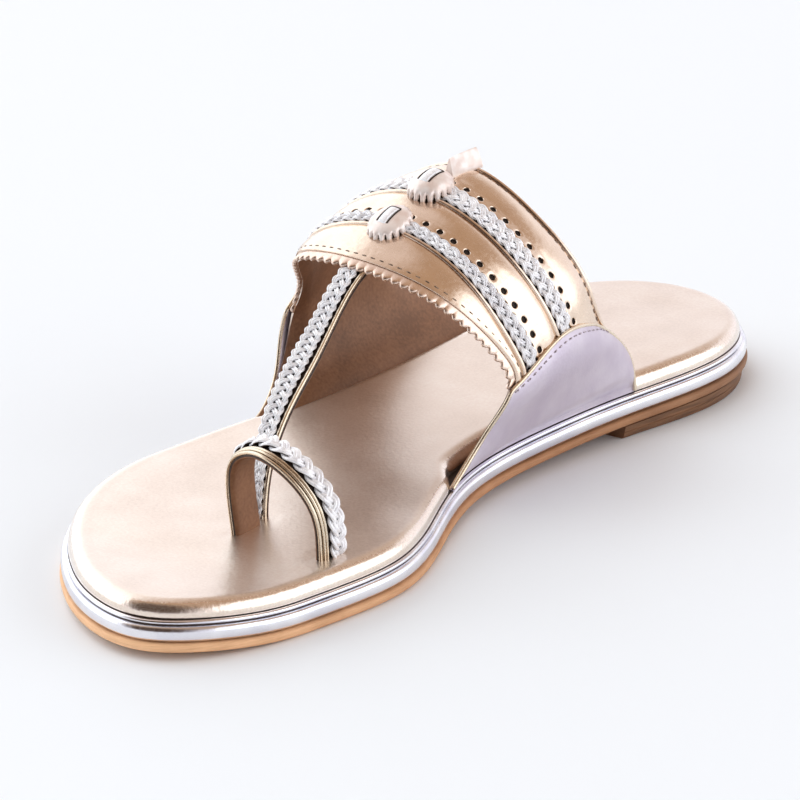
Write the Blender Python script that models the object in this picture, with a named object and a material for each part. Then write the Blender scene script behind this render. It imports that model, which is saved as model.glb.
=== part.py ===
"""Kolhapuri chappal for the right foot: a flat leather sole with a low heel, a padded footbed, a
three-band vamp between two side wings, a toe strap and a ring for the big toe.

Foot frame used by the tables, in millimetres:
  station  along the sole, from the back of the heel towards the toe
  side     across the sole, positive towards the other foot (medial)
  height   above the floor
In the scene the toe points along -Y, medial is +X and the origin is under the middle of the sole.
"""
from collections import namedtuple

import bmesh
import bpy
import numpy as np

MM = 0.001

# Driving dimensions, millimetres
SOLE_LENGTH = 250.4
BALL_WIDTH = 90.0
INSTEP_HEIGHT = 72.1

GAP = 0.3                 # clearance between pieces that touch
HEEL_END = 70.0           # station of the heel's front face, its breast
WALL = 2.0                # the vamp with its lining
WING_THICK = 1.2
STRAP_THICK = 1.7
PIPING = 0.9              # the raised edges of the toe strap
LOOP_THICK = 2.2          # the ring for the big toe
LOOP_WIDTH = 9.5
LIP = 0.9                 # the raised front edge of the ring
UPPER_INSET = 2.0         # the vamp's foot, in from the edge of the sole
SECTIONS = 26             # stations along each half of the sole's outline

# Sizes at which the tables are drawn, and the factors that carry them to the driving dimensions
LONG = SOLE_LENGTH / 250.4
WIDE = BALL_WIDTH / 90.0
HIGH = INSTEP_HEIGHT / 72.1

Edge = namedtuple("Edge", "station side")
OUTLINE = [Edge(*row) for row in [
    (-3.4, 0.1), (5.3, 22.7), (29.3, 34.1), (64.9, 28.3), (99.9, 21.1), (131.5, 20.0),
    (157.1, 27.8), (180.3, 34.1), (205.5, 30.8), (230.6, 22.4), (246.6, 4.9), (243.3, -12.9),
    (231.1, -29.7), (206.6, -48.7), (175.0, -55.7), (139.4, -47.4), (99.6, -39.4),
    (59.6, -36.0), (27.0, -32.6), (4.8, -20.1)]]

# How far the outsole's underside stands above the floor: heel seat, waist, flat tread, toe spring
Rise = namedtuple("Rise", "station height")
UNDERSIDE = [Rise(*row) for row in [
    (-6, 4.2), (35, 4.7), (70, 3.9), (95, 3.0), (120, 2.1), (145, 1.1), (166, 0.0),
    (214, 0.0), (250, 2.2)]]

# Sides of the sole's layers, bottom to top: how far each ring stands in from the outline, and its
# height above the layer's own underside. The outsole stands out past the rand.
Ring = namedtuple("Ring", "inset height")
HEEL_SIDE = [Ring(2.0, 0.0), Ring(1.3, 0.7)]
HEEL_TOP_INSET = 0.8
OUTSOLE_SIDE = [Ring(0.1, 0.0), Ring(-0.8, 0.7), Ring(-0.8, 2.45), Ring(-0.2, 3.15)]
# the foil rand: a rounded side, then a groove under a thin bead
RAND_SIDE = [Ring(*row) for row in [
    (1.0, 0.0), (0.3, 0.3), (0.0, 1.1), (0.0, 2.0), (0.5, 2.9), (0.8, 3.1), (0.4, 3.4), (0.3, 3.9),
    (0.8, 4.3), (1.6, 4.45)]]
# the padded footbed: its edge rolls over
FOOTBED_SIDE = [Ring(*row) for row in [
    (2.2, 0.0), (1.7, 0.6), (1.5, 1.6), (1.9, 2.6), (3.1, 3.4), (5.0, 3.8), (8.5, 4.0)]]

# The vamp's two free edges, from the medial foot over the instep to the lateral foot
Arch = namedtuple("Arch", "station side height")
FRONT_EDGE = [Arch(*row) for row in [
    (142.5, 20.8, 10.4), (129.2, 21.3, 19.8), (121.9, 24.7, 30.5), (123.3, 21.4, 39.9),
    (132.4, 9.8, 54.1), (135.5, -12.6, 59.9), (131.5, -33.4, 56.9), (118.6, -43.0, 45.2),
    (113.3, -49.6, 32.8), (120.3, -49.5, 17.5), (138.5, -45.8, 9.4)]]
REAR_EDGE = [Arch(*row) for row in [
    (65.1, 26.5, 11.9), (67.7, 25.0, 23.6), (77.4, 23.4, 33.7), (82.4, 20.7, 48.1),
    (85.1, 8.0, 62.6), (85.6, -11.4, 72.1), (85.5, -29.9, 66.1), (82.8, -43.7, 53.2),
    (76.3, -46.4, 38.0), (63.1, -43.1, 25.3), (47.5, -33.5, 12.6)]]
CROWN = 3.0               # how far the vamp swells between its edges, at the instep
ARCH_CORE = (-12.0, 15.0)  # side and height of the line that the vamp swells away from
FOOT_BLEND = 0.22         # share of the arch over which its foot settles onto the sole's curve
UPRIGHT_FOOT = 0.05       # share of the arch over which the layers turn upright
UPPER_SECTIONS = 40       # a multiple of 40 puts grid lines on the ridge and beside it

# Lanes across the vamp, front to rear, as shares of its depth. crest is what the instep adds,
# lift is how far the foil, the piping or the bed of a braid stands above the base leather.
Lane = namedtuple("Lane", "share crest lift")
LANES = [Lane(*row) for row in [
    (0.000, 0.000, 0.4), (0.020, 0.010, 0.8), (0.060, 0.070, 1.0), (0.095, 0.148, 0.8),
    (0.113, 0.160, 1.5), (0.131, 0.165, 0.3), (0.285, 0.105, 0.3), (0.305, 0.105, 0.9),
    (0.385, 0.100, 1.1), (0.465, 0.095, 0.9), (0.485, 0.100, 1.6), (0.505, 0.100, 0.3),
    (0.685, 0.085, 0.3), (0.705, 0.085, 0.9), (0.830, 0.050, 1.1), (0.965, 0.000, 0.9),
    (1.000, 0.000, 0.4)]]
FRONT_BED = (5, 6)        # lanes that bound the bed of each braid
REAR_BED = (11, 12)
CREST_REACH = 0.25        # share of the arch, each side of its top, over which the crest fades
RIDGE = 0.0255           # half of the plain strip along the top, under rosettes and tab
WING_FOOT = 0.205         # where the wing's top edge meets the vamp's edges
WING_CROWN = 0.045        # what the wing gains between them

# Rosettes and tab on the ridge, as shares of the arch (across) and of the vamp's depth (along)
Oval = namedtuple("Oval", "across along")
ROSETTE = Oval(0.0212, 0.133)
ROSETTE_RIM = 1.2         # millimetres
Rosette = namedtuple("Rosette", "name middle crown")
ROSETTES = [Rosette("rosette_front", 0.30, 4.4), Rosette("rosette_rear", 0.635, 5.2)]
TAB_HALF = 0.017
TAB_START = 0.777
TAB_THICK = 1.2           # millimetres, at its two edges
TAB_FOLD = (2.8, 6.2)     # thickness along its middle fold, front and rear

# Braids
BRAID_PITCH = 4.5
BRAID_HEIGHT = 1.6
BRAID_ACROSS = [-1, -0.6, 0, 0.6, 1]
BRAID_STEPS = 3           # grid steps in each pitch
LOBE = 0.45
BRAID_START = 0.005       # clearance at each end, share of the arch
BRAID_STOP = 0.016
BRAID_MARGIN = 0.011      # clearance at each side, share of the vamp's depth
ARCH_LENGTH = 165.0       # over the vamp, from foot to foot

# Where a braid runs on the strap or the ring: from start to stop along it, as shares of its
# length, and from low to high across it, as shares of its half width
Run = namedtuple("Run", "start stop low high")
STRAP_BRAID = Run(0.155, 0.93, -0.7, 0.7)
LOOP_BRAID = Run(0.09, 0.91, -0.93, 0.22)
STRAP_ACROSS = [-1, -0.88, -0.76, 0.76, 0.88, 1]         # piping along both edges
LOOP_ACROSS = [-1, -0.5, 0.3, 0.45, 0.72, 0.9, 1]        # a raised lip along the front edge

# The toe strap's middle line, from under the vamp to its slot in the footbed
Strap = namedtuple("Strap", "station side height half")
TOE_STRAP = [Strap(*row) for row in [
    (124.0, -12.2, 61.6, 4.0), (135.6, -13.4, 57.4, 4.0), (147.1, -13.4, 48.7, 4.0),
    (161.5, -11.1, 40.7, 4.1), (173.6, -8.7, 33.4, 3.7), (182.0, -6.7, 23.6, 2.9),
    (185.6, -5.3, 12.0, 2.4), (185.8, -5.0, 8.3, 2.3)]]
# The toe ring's middle line, medial leg to the leg between the toes
TOE_LOOP = [Strap(*row) for row in [
    (195.2, 22.5, 8.3, 4.7), (195.5, 22.7, 15.0, 4.7), (196.2, 21.9, 23.6, 4.7),
    (197.2, 17.8, 30.3, 4.7), (197.8, 12.7, 34.1, 4.7), (197.4, 8.0, 35.5, 4.7),
    (196.0, 2.8, 34.8, 4.7), (195.0, -2.5, 31.4, 4.7), (194.5, -4.2, 24.2, 4.7),
    (194.3, -3.4, 15.0, 4.7), (194.3, -2.6, 8.3, 4.7)]]


def spline(knots, rows, at, closed=False):
    """Points of the smooth cubic curve that passes through rows at the given knots."""
    x = np.asarray(knots, float)
    y = np.asarray(rows, float)
    count = len(x)
    step = np.diff(x)
    slope = np.diff(y, axis=0) / step[:, None]
    matrix = np.zeros((count, count))
    target = np.zeros_like(y)
    for i in range(1, count - 1):
        matrix[i, i - 1:i + 2] = step[i - 1], 2 * (step[i - 1] + step[i]), step[i]
        target[i] = 6 * (slope[i] - slope[i - 1])
    matrix[0, 0] = 1
    matrix[-1, -1] = 1
    if closed:
        matrix[0, -1] = -1
        matrix[-1, :] = 0
        matrix[-1, 0] = 2 * (step[0] + step[-1])
        matrix[-1, 1] = step[0]
        matrix[-1, -2] = step[-1]
        target[-1] = 6 * (slope[0] - slope[-1])
    bend = np.linalg.solve(matrix, target)
    at = np.asarray(at, float)
    i = np.clip(np.searchsorted(x, at, side="right") - 1, 0, count - 2)
    h = step[i][..., None]
    b = (at - x[i])[..., None] / h
    a = 1 - b
    return a * y[i] + b * y[i + 1] + ((a**3 - a) * bend[i] + (b**3 - b) * bend[i + 1]) * h**2 / 6


def level(table, station):
    """Height at a station on a curve through the table that never overshoots its rows."""
    x, y = np.array(table, float).T
    step = np.diff(x)
    grade = np.diff(y) / step
    slope = np.zeros_like(y)
    both = grade[:-1] * grade[1:] > 0
    slope[1:-1][both] = 2 / (1 / grade[:-1][both] + 1 / grade[1:][both])
    station = np.clip(station, x[0], x[-1])
    i = np.clip(np.searchsorted(x, station, side="right") - 1, 0, len(x) - 2)
    h = step[i]
    t = (station - x[i]) / h
    return (y[i] * (1 + 2 * t) * (1 - t)**2 + y[i + 1] * t**2 * (3 - 2 * t)
            + h * slope[i] * t * (1 - t)**2 - h * slope[i + 1] * t**2 * (1 - t))


def ease(value):
    """Smooth step from 0 to 1."""
    t = np.clip(value, 0, 1)
    return t * t * (3 - 2 * t)


def underside(station):
    return level(UNDERSIDE, station / LONG)


def edge_curve(inset):
    """The sole's outline moved in by inset, as a dense closed loop that starts at the heel."""
    rows = np.array(OUTLINE) * (LONG, WIDE)
    loop = np.vstack([rows, rows[:1]])
    knots = np.r_[0, np.cumsum(np.hypot(*np.diff(loop, axis=0).T))]
    points = spline(knots, loop, np.linspace(0, knots[-1], 721)[:-1], closed=True)
    along = np.roll(points, -1, axis=0) - np.roll(points, 1, axis=0)
    along /= np.hypot(*along.T)[:, None]
    inward = np.c_[along[:, 1], -along[:, 0]]
    middle = points.mean(axis=0)
    inward *= np.sign(((middle - points) * inward).sum())
    return points + inset * inward


def rim(inset, end=None, sections=SECTIONS):
    """One ring of the sole: heel tip, medial side, toe tip, lateral side. With end, the ring stops
    at that station in a straight cross edge instead of a toe."""
    curve = edge_curve(inset)
    heel = curve[:, 0].argmin()
    curve = np.roll(curve, -heel, axis=0)
    toe = curve[:, 0].argmax()
    halves = (curve[:toe + 1], np.vstack([curve[toe:], curve[:1]])[::-1])
    first, last = curve[0, 0], curve[toe, 0]
    share = np.linspace(0, 1, sections + 1)
    if end is None:
        stations = first + (last - first) * (1 - np.cos(np.pi * share)) / 2
    else:
        stations = first + (end - first) * (1 - np.cos(np.pi / 2 * share))
    stop = sections if end is None else sections + 1
    medial, lateral = (np.c_[stations, np.interp(stations, *half.T)][1:stop] for half in halves)
    tip = [curve[toe]] if end is None else []
    return np.vstack([curve[:1], medial, *[[t] for t in tip], lateral[::-1]])


SIDE_MID = (rim(0)[:, 1].max() + rim(0)[:, 1].min()) / 2
STATION_MID = (rim(0)[:, 0].max() + rim(0)[:, 0].min()) / 2


def to_scene(points):
    """Foot frame in millimetres to the scene in metres."""
    station, side, height = np.asarray(points, float).T
    return np.c_[side - SIDE_MID, STATION_MID - station, height] * MM


def finish(name, colour, roughness, metallic):
    material = bpy.data.materials.new(name)
    material.use_nodes = True
    shader = material.node_tree.nodes["Principled BSDF"]
    shader.inputs["Base Color"].default_value = (*colour, 1)
    shader.inputs["Roughness"].default_value = roughness
    shader.inputs["Metallic"].default_value = metallic
    material.diffuse_color = (*colour, 1)
    return material


def collection(name):
    group = bpy.data.collections.new(name)
    bpy.context.scene.collection.children.link(group)
    return group


def add_piece(name, points, faces, material, group=None, smooth=35):
    """A closed mesh object from points in the foot frame, placed at its own middle."""
    points = to_scene(points)
    middle = (points.min(axis=0) + points.max(axis=0)) / 2
    mesh = bpy.data.meshes.new(name)
    mesh.from_pydata((points - middle).tolist(), [], faces)
    shape = bmesh.new()
    shape.from_mesh(mesh)
    bmesh.ops.recalc_face_normals(shape, faces=shape.faces)
    shape.to_mesh(mesh)
    shape.free()
    mesh.shade_smooth()
    mesh.set_sharp_from_angle(angle=np.radians(smooth))
    mesh.materials.append(material)
    piece = bpy.data.objects.new(name, mesh)
    piece.location = middle
    piece.parent = root
    (group or parts).objects.link(piece)
    return piece


def plate(name, levels, material, end=None, notch=None):
    """A sole layer: rings of the outline joined upwards. levels gives each ring's inset and a
    function of the station for its height. notch draws part of the ring in towards a deeper inset."""
    points, faces = [], []
    for inset, height in levels:
        ring = rim(inset, end)
        if notch:
            deep = rim(inset + notch.depth, end)
            share = notch.share(ring)[:, None]
            ring = ring * (1 - share) + deep * share
        points.append(np.c_[ring, height(ring[:, 0])])
    size = len(points[0])
    for i in range(len(levels) - 1):
        for j in range(size):
            k = (j + 1) % size
            faces.append((i * size + j, i * size + k, (i + 1) * size + k, (i + 1) * size + j))
    half = size // 2
    for base in (0, (len(levels) - 1) * size):
        # across the layer, medial point to lateral point of the same station
        faces.append((base, base + 1, base + size - 1))
        for j in range(1, half):
            quad = (base + j, base + j + 1, base + size - j - 1, base + size - j)
            faces.append(quad if quad[1] != quad[2] else quad[:2] + quad[3:])
    return add_piece(name, np.vstack(points), faces, material)


def skin(name, surface, s, t, low, high, material, group=None, smooth=35):
    """A closed solid between two offsets of a surface over the grid s by t."""
    point, normal = surface(s, t)
    rows, columns = s.shape
    outer = point + normal * np.broadcast_to(high, s.shape)[..., None]
    inner = point + normal * np.broadcast_to(low, s.shape)[..., None]
    points = np.vstack([outer.reshape(-1, 3), inner.reshape(-1, 3)])
    total = rows * columns
    faces = []
    for i in range(rows - 1):
        for j in range(columns - 1):
            a = i * columns + j
            quad = (a, a + 1, a + columns + 1, a + columns)
            faces.append(quad)
            faces.append(tuple(q + total for q in reversed(quad)))
    border = ([j for j in range(columns)]
              + [i * columns + columns - 1 for i in range(1, rows)]
              + [(rows - 1) * columns + j for j in range(columns - 2, -1, -1)]
              + [i * columns for i in range(rows - 2, 0, -1)])
    for a, b in zip(border, border[1:] + border[:1]):
        faces.append((a, a + total, b + total, b))
    return add_piece(name, points, faces, material, group, smooth)


# ---------------------------------------------------------------- the vamp's own surface

def arch_edge(rows, s):
    table = np.array(rows) * (LONG, WIDE, HIGH)
    return spline(np.linspace(0, 1, len(rows)), table, s)


def sole_side(stations, medial, inset):
    """Side position of the outline, moved in by inset, at the given stations."""
    ring = rim(inset, sections=90)
    half = len(ring) // 2
    rows = ring[:half + 1] if medial else np.vstack([ring[half:], ring[:1]])[::-1]
    return np.interp(stations, *rows.T)


def arch_foot(t, medial):
    """Where the vamp's foot stands on the rand, from the front (t = 0) to the rear."""
    index = 0 if medial else -1
    ends = FRONT_EDGE[index].station * LONG, REAR_EDGE[index].station * LONG
    station = ends[0] + (ends[1] - ends[0]) * t
    side = sole_side(station, medial, UPPER_INSET)
    height = underside(station) + OUTSOLE_SIDE[-1].height + RAND_SIDE[-1].height + 2 * GAP
    return np.stack([station, side, height], axis=-1)


def vamp_point(s, t):
    front = arch_edge(FRONT_EDGE, s)
    rear = arch_edge(REAR_EDGE, s)
    point = front * (1 - t)[..., None] + rear * t[..., None]
    away = point - np.stack([point[..., 0], np.full_like(s, ARCH_CORE[0]),
                             np.full_like(s, ARCH_CORE[1])], axis=-1)
    away /= np.linalg.norm(away, axis=-1)[..., None]
    point = point + away * (CROWN * np.sin(np.pi * s) * 4 * t * (1 - t))[..., None]
    for medial, distance in ((True, s), (False, 1 - s)):
        end = np.full_like(s, 0.0 if medial else 1.0)
        straight = (arch_edge(FRONT_EDGE, end) * (1 - t)[..., None]
                    + arch_edge(REAR_EDGE, end) * t[..., None])
        share = np.clip(1 - distance / FOOT_BLEND, 0, 1)**2
        point = point + (arch_foot(t, medial) - straight) * share[..., None]
    return point


def vamp(s, t):
    """Points of the vamp's base leather and the outward direction there. s runs over the instep
    from the medial foot to the lateral foot, t from the front edge to the rear edge."""
    small = 0.004
    before, after = np.clip(s - small, 0, 1), np.clip(s + small, 0, 1)
    over = vamp_point(after, t) - vamp_point(before, t)
    back = vamp_point(s, t + small) - vamp_point(s, t - small)
    normal = np.cross(over, back)
    normal /= np.linalg.norm(normal, axis=-1)[..., None]
    point = vamp_point(s, t)
    middle = normal[normal.shape[0] // 2, normal.shape[1] // 2]
    core = point[point.shape[0] // 2, point.shape[1] // 2] - (0, ARCH_CORE[0], ARCH_CORE[1])
    if middle[1] * core[1] + middle[2] * core[2] < 0:
        normal = -normal
    # at its foot every layer stands upright on the rand
    normal[..., 2] *= ease(np.minimum(s, 1 - s) / UPRIGHT_FOOT)
    normal /= np.linalg.norm(normal, axis=-1)[..., None]
    return point, normal


def lane_share(lane, s):
    crest = np.cos(np.pi / 2 * np.clip(abs(s - 0.5) / CREST_REACH, 0, 1))**2
    return lane.share + lane.crest * crest


def wing_top(t):
    """How far up the arch a wing reaches at depth t."""
    return WING_FOOT + WING_CROWN * np.sin(np.pi * t)


def strap_surface(rows, wide_along):
    """Surface of a strap: s runs along its middle line, t from one edge (-1) to the other."""
    table = np.array(rows) * (LONG, WIDE, HIGH, 1)
    chord = np.r_[0, np.cumsum(np.linalg.norm(np.diff(table[:, :3], axis=0), axis=1))]
    knots = chord / chord[-1]
    core = table[:, :3].mean(axis=0) - (0, 0, table[:, 2].mean())

    def surface(s, t):
        line = spline(knots, table, s)
        ahead = spline(knots, table, s + 0.002) - spline(knots, table, s - 0.002)
        tangent = ahead[..., :3] / np.linalg.norm(ahead[..., :3], axis=-1)[..., None]
        across = np.broadcast_to(np.array(wide_along, float), tangent.shape)
        across = across - (across * tangent).sum(axis=-1)[..., None] * tangent
        across = across / np.linalg.norm(across, axis=-1)[..., None]
        normal = np.cross(tangent, across)
        outward = line[..., :3] - core
        flip = np.sign((normal * outward).sum())
        return line[..., :3] + across * (t * line[..., 3])[..., None], normal * flip
    surface.length = chord[-1]
    return surface


def braid_lift(along, across, length):
    """Height of a plait above its bed: a rounded strip with lobes that alternate left and right."""
    turns = along * length / BRAID_PITCH
    phase = np.where(across > 0, 0.5, 0.0)
    lobes = LOBE * abs(np.sin(np.pi * (turns + phase)))
    return BRAID_HEIGHT * np.sqrt(1 - 0.72 * across**2) * (1 - LOBE / 2) + lobes


# ---------------------------------------------------------------- the scene

for item in list(bpy.data.objects):
    bpy.data.objects.remove(item, do_unlink=True)
parts = collection("kolhapuri_chappal")
cutters = collection("cutters")
root = bpy.data.objects.new("chappal", None)
parts.objects.link(root)

tan = finish("tan_leather_edge", (0.52, 0.29, 0.13), 0.55, 0.0)
heel_tan = finish("heel_leather", (0.40, 0.22, 0.10), 0.55, 0.0)
silver_foil = finish("silver_foil_leather", (0.72, 0.72, 0.74), 0.25, 0.9)
champagne = finish("champagne_foil_leather", (0.76, 0.62, 0.48), 0.35, 0.7)
gold_foil = finish("gold_foil_leather", (0.74, 0.55, 0.36), 0.3, 0.8)
ring_gold = finish("loop_gold_leather", (0.78, 0.66, 0.48), 0.35, 0.7)
nude = finish("nude_leather", (0.80, 0.64, 0.55), 0.45, 0.2)
pearl = finish("pearl_leather", (0.62, 0.58, 0.64), 0.4, 0.3)
plait_silver = finish("silver_plait", (0.80, 0.80, 0.80), 0.3, 0.8)


def stack(side, base):
    """The rings of a sole layer that follows the outsole's underside at a distance of base."""
    return [(ring.inset, lambda station, up=base + ring.height: underside(station) + up)
            for ring in side]


class WallNotch:
    """The footbed's edge gives way where the vamp and the wings pass outside it."""
    depth = UPPER_INSET + WALL + 3 * GAP - FOOTBED_SIDE[2].inset
    reach = 14.0
    fade = 10.0

    @classmethod
    def share(cls, ring):
        station, side = ring.T
        medial = side > SIDE_MID
        front = np.where(medial, FRONT_EDGE[0].station, FRONT_EDGE[-1].station) * LONG
        rear = np.where(medial, REAR_EDGE[0].station, REAR_EDGE[-1].station) * LONG
        return (ease((station - rear + cls.reach) / cls.fade)
                * ease((front + cls.reach - station) / cls.fade))


# Heel: a low block that fills up to the outsole, with a straight breast
heel_rings = [(ring.inset, lambda station, up=ring.height: np.full_like(station, up))
              for ring in HEEL_SIDE]
heel_rings.append((HEEL_TOP_INSET, lambda station: underside(station) - GAP))
plate("heel", heel_rings, heel_tan, end=HEEL_END)

# Outsole, foil-covered midsole with its rand, and padded footbed, each on the one below
midsole_base = OUTSOLE_SIDE[-1].height + GAP
footbed_base = midsole_base + RAND_SIDE[-1].height + GAP
plate("outsole", stack(OUTSOLE_SIDE, 0), tan)
plate("midsole", stack(RAND_SIDE, midsole_base), silver_foil)
footbed = plate("footbed", stack(FOOTBED_SIDE, footbed_base), champagne, notch=WallNotch)

# Vamp: one wall over the instep, its foil bands, pipings and braid beds stepped into it
arch_s = np.linspace(0, 1, UPPER_SECTIONS + 1)
grid_s = np.broadcast_to(arch_s, (len(LANES), len(arch_s)))
grid_t = np.array([lane_share(lane, arch_s) for lane in LANES])
from_foot = np.minimum(grid_s, 1 - grid_s)
covered = ease((from_foot - wing_top(grid_t) - 0.004) / 0.03)
on_ridge = ease((abs(grid_s - 0.5) - RIDGE) / 0.010)
lift = np.array([[lane.lift] for lane in LANES]) * covered * on_ridge
upper = skin("upper", vamp, grid_s, grid_t, -WALL, lift, gold_foil)

# Toe strap: from under the vamp down to the footbed, joined to the vamp
strap = strap_surface(TOE_STRAP, (0, 1, 0))
strap_s, strap_t = np.meshgrid(np.linspace(0, 1, 25), STRAP_ACROSS, indexing="ij")
piping = np.where(abs(strap_t) == STRAP_ACROSS[-2], PIPING, 0.0)
strap_piece = skin("toe_strap", strap, strap_s, strap_t, -STRAP_THICK / 2, STRAP_THICK / 2 + piping,
                   gold_foil, cutters)
strap_piece.display_type = "WIRE"
strap_piece.hide_render = True
join = upper.modifiers.new("join_toe_strap", "BOOLEAN")
join.operation = "UNION"
join.solver = "EXACT"
join.object = strap_piece

# Toe ring: an arched strap with a raised gold front edge
loop = strap_surface(TOE_LOOP, (1, 0, 0))
loop_s, loop_t = np.meshgrid(np.linspace(0, 1, 33), LOOP_ACROSS, indexing="ij")
on_lip = (loop_t >= LOOP_ACROSS[-3]) & (loop_t <= LOOP_ACROSS[-2])
skin("toe_loop", loop, loop_s, loop_t, -LOOP_THICK / 2, LOOP_THICK / 2 + LIP * on_lip, ring_gold)

# Wings: half-round side pieces over the ends of the bands
wing_depth, wing_up = np.meshgrid(np.linspace(0, 1, 13), np.linspace(0, 1, 9), indexing="ij")
wing_s = wing_top(wing_depth) * wing_up
skin("wing_medial", vamp, wing_s, wing_depth, GAP, GAP + WING_THICK, pearl)
skin("wing_lateral", vamp, 1 - wing_s, wing_depth, GAP, GAP + WING_THICK, pearl)

# Braids in their beds on the vamp, each side of the rosettes
for place, bed in (("front", FRONT_BED), ("rear", REAR_BED)):
    low_lane, high_lane = (LANES[index] for index in bed)
    for half, outward in (("medial", -1), ("lateral", 1)):
        near = 0.5 + outward * (RIDGE + BRAID_START)
        far = 0.5 + outward * (0.5 - wing_top(low_lane.share) - BRAID_STOP)
        length = ARCH_LENGTH * abs(far - near)
        steps = int(length / BRAID_PITCH * BRAID_STEPS)
        along, across = np.meshgrid(np.linspace(0, 1, steps + 1), BRAID_ACROSS, indexing="ij")
        run_s = near + (far - near) * along
        low = lane_share(low_lane, run_s) + BRAID_MARGIN
        high = lane_share(high_lane, run_s) - BRAID_MARGIN
        run_t = low + (high - low) * (across + 1) / 2
        base = low_lane.lift + GAP
        skin(f"braid_{place}_{half}", vamp, run_s, run_t, base,
             base + braid_lift(along, across, length), plait_silver)

# Braids along the toe strap and around the ring
for name, surface, thick, run in (("braid_strap", strap, STRAP_THICK, STRAP_BRAID),
                                  ("braid_loop", loop, LOOP_THICK, LOOP_BRAID)):
    length = surface.length * (run.stop - run.start)
    steps = int(length / BRAID_PITCH * BRAID_STEPS)
    along, across = np.meshgrid(np.linspace(0, 1, steps + 1), BRAID_ACROSS, indexing="ij")
    base = thick / 2 + GAP
    skin(name, surface, run.start + (run.stop - run.start) * along,
         run.low + (run.high - run.low) * (across + 1) / 2, base,
         base + braid_lift(along, across, length), plait_silver)

# Rosettes: domed oval bows on the ridge, longer along the foot than across
for rosette in ROSETTES:
    u, w = np.meshgrid(np.linspace(-1, 1, 9), np.linspace(-1, 1, 9), indexing="ij")
    # a square grid drawn in to a round one
    across = u * np.sqrt(1 - w**2 / 2)
    along = w * np.sqrt(1 - u**2 / 2)
    dome = np.sqrt(1 - 0.85 * np.minimum(across**2 + along**2, 1))
    skin(rosette.name, vamp, 0.5 + ROSETTE.across * across, rosette.middle + ROSETTE.along * along,
         GAP, ROSETTE_RIM + (rosette.crown - ROSETTE_RIM) * dome, nude)

# Tab: a pinched tongue of leather that rises towards the rear edge
across, rise = np.meshgrid(np.linspace(-1, 1, 7), np.linspace(0, 1, 5), indexing="ij")
fold = TAB_FOLD[0] + (TAB_FOLD[1] - TAB_FOLD[0]) * rise - TAB_THICK
skin("tab", vamp, 0.5 + TAB_HALF * across, TAB_START + (1 - TAB_START) * rise, GAP,
     TAB_THICK + (1 - abs(across)) * fold, nude)

# Slots in the footbed for the strap and for both legs of the ring
SLOT_PLAY = 0.4
Slot = namedtuple("Slot", "name row wide long")
for slot in (Slot("slot_strap", TOE_STRAP[-1], 2 * TOE_STRAP[-1].half, STRAP_THICK + 2 * PIPING),
             Slot("slot_loop_medial", TOE_LOOP[0], LOOP_THICK + 2 * LIP, LOOP_WIDTH),
             Slot("slot_loop_lateral", TOE_LOOP[-1], LOOP_THICK + 2 * LIP, LOOP_WIDTH)):
    bpy.ops.mesh.primitive_cube_add(size=1)
    cutter = bpy.context.object
    cutter.name = slot.name
    cutter.location = to_scene([(slot.row.station * LONG, slot.row.side * WIDE, slot.row.height)])[0]
    cutter.scale = [size * MM for size in (slot.wide + 2 * GAP + SLOT_PLAY,
                                           slot.long + 2 * GAP + SLOT_PLAY, 24)]
    cutter.display_type = "WIRE"
    cutter.hide_render = True
    for holder in cutter.users_collection:
        holder.objects.unlink(cutter)
    cutters.objects.link(cutter)
    cut = footbed.modifiers.new(slot.name, "BOOLEAN")
    cut.operation = "DIFFERENCE"
    cut.solver = "EXACT"
    cut.object = cutter
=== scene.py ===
"""Kolhapuri chappal for the right foot: foil leathers, plaits, pipings, punched holes and stitches,
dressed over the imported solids.

Sizes are in millimetres in the foot's own frame: station from the back of the heel towards the
toe, side positive towards the other foot (medial), height above the floor.
"""
import math

import bmesh
import bpy
import numpy as np
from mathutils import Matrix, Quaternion, Vector


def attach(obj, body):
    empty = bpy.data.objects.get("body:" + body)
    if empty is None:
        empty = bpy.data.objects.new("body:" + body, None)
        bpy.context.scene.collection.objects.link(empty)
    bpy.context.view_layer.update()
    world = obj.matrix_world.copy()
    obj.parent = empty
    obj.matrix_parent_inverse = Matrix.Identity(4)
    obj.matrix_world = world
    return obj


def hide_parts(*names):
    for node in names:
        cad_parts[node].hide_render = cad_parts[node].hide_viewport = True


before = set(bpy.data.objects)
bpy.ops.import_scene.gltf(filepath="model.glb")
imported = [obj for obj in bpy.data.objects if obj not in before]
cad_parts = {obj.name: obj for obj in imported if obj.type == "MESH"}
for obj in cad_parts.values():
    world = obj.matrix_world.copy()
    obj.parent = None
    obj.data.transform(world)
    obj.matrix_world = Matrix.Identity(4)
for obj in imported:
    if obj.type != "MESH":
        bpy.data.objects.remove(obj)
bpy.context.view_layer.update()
scene = bpy.context.scene


# ---------------------------------------------------------------- studio
# A pale sweep of paper in a white room. The foil leathers show what they mirror: bright walls low
# down, two large soft boxes, and a darker, warm ceiling.

def linear(colour):
    """sRGB hex to linear RGBA."""
    parts = [int(colour[i:i + 2], 16) / 255 for i in (1, 3, 5)]
    return [c / 12.92 if c <= 0.04045 else ((c + 0.055) / 1.055)**2.4 for c in parts] + [1.0]


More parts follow.
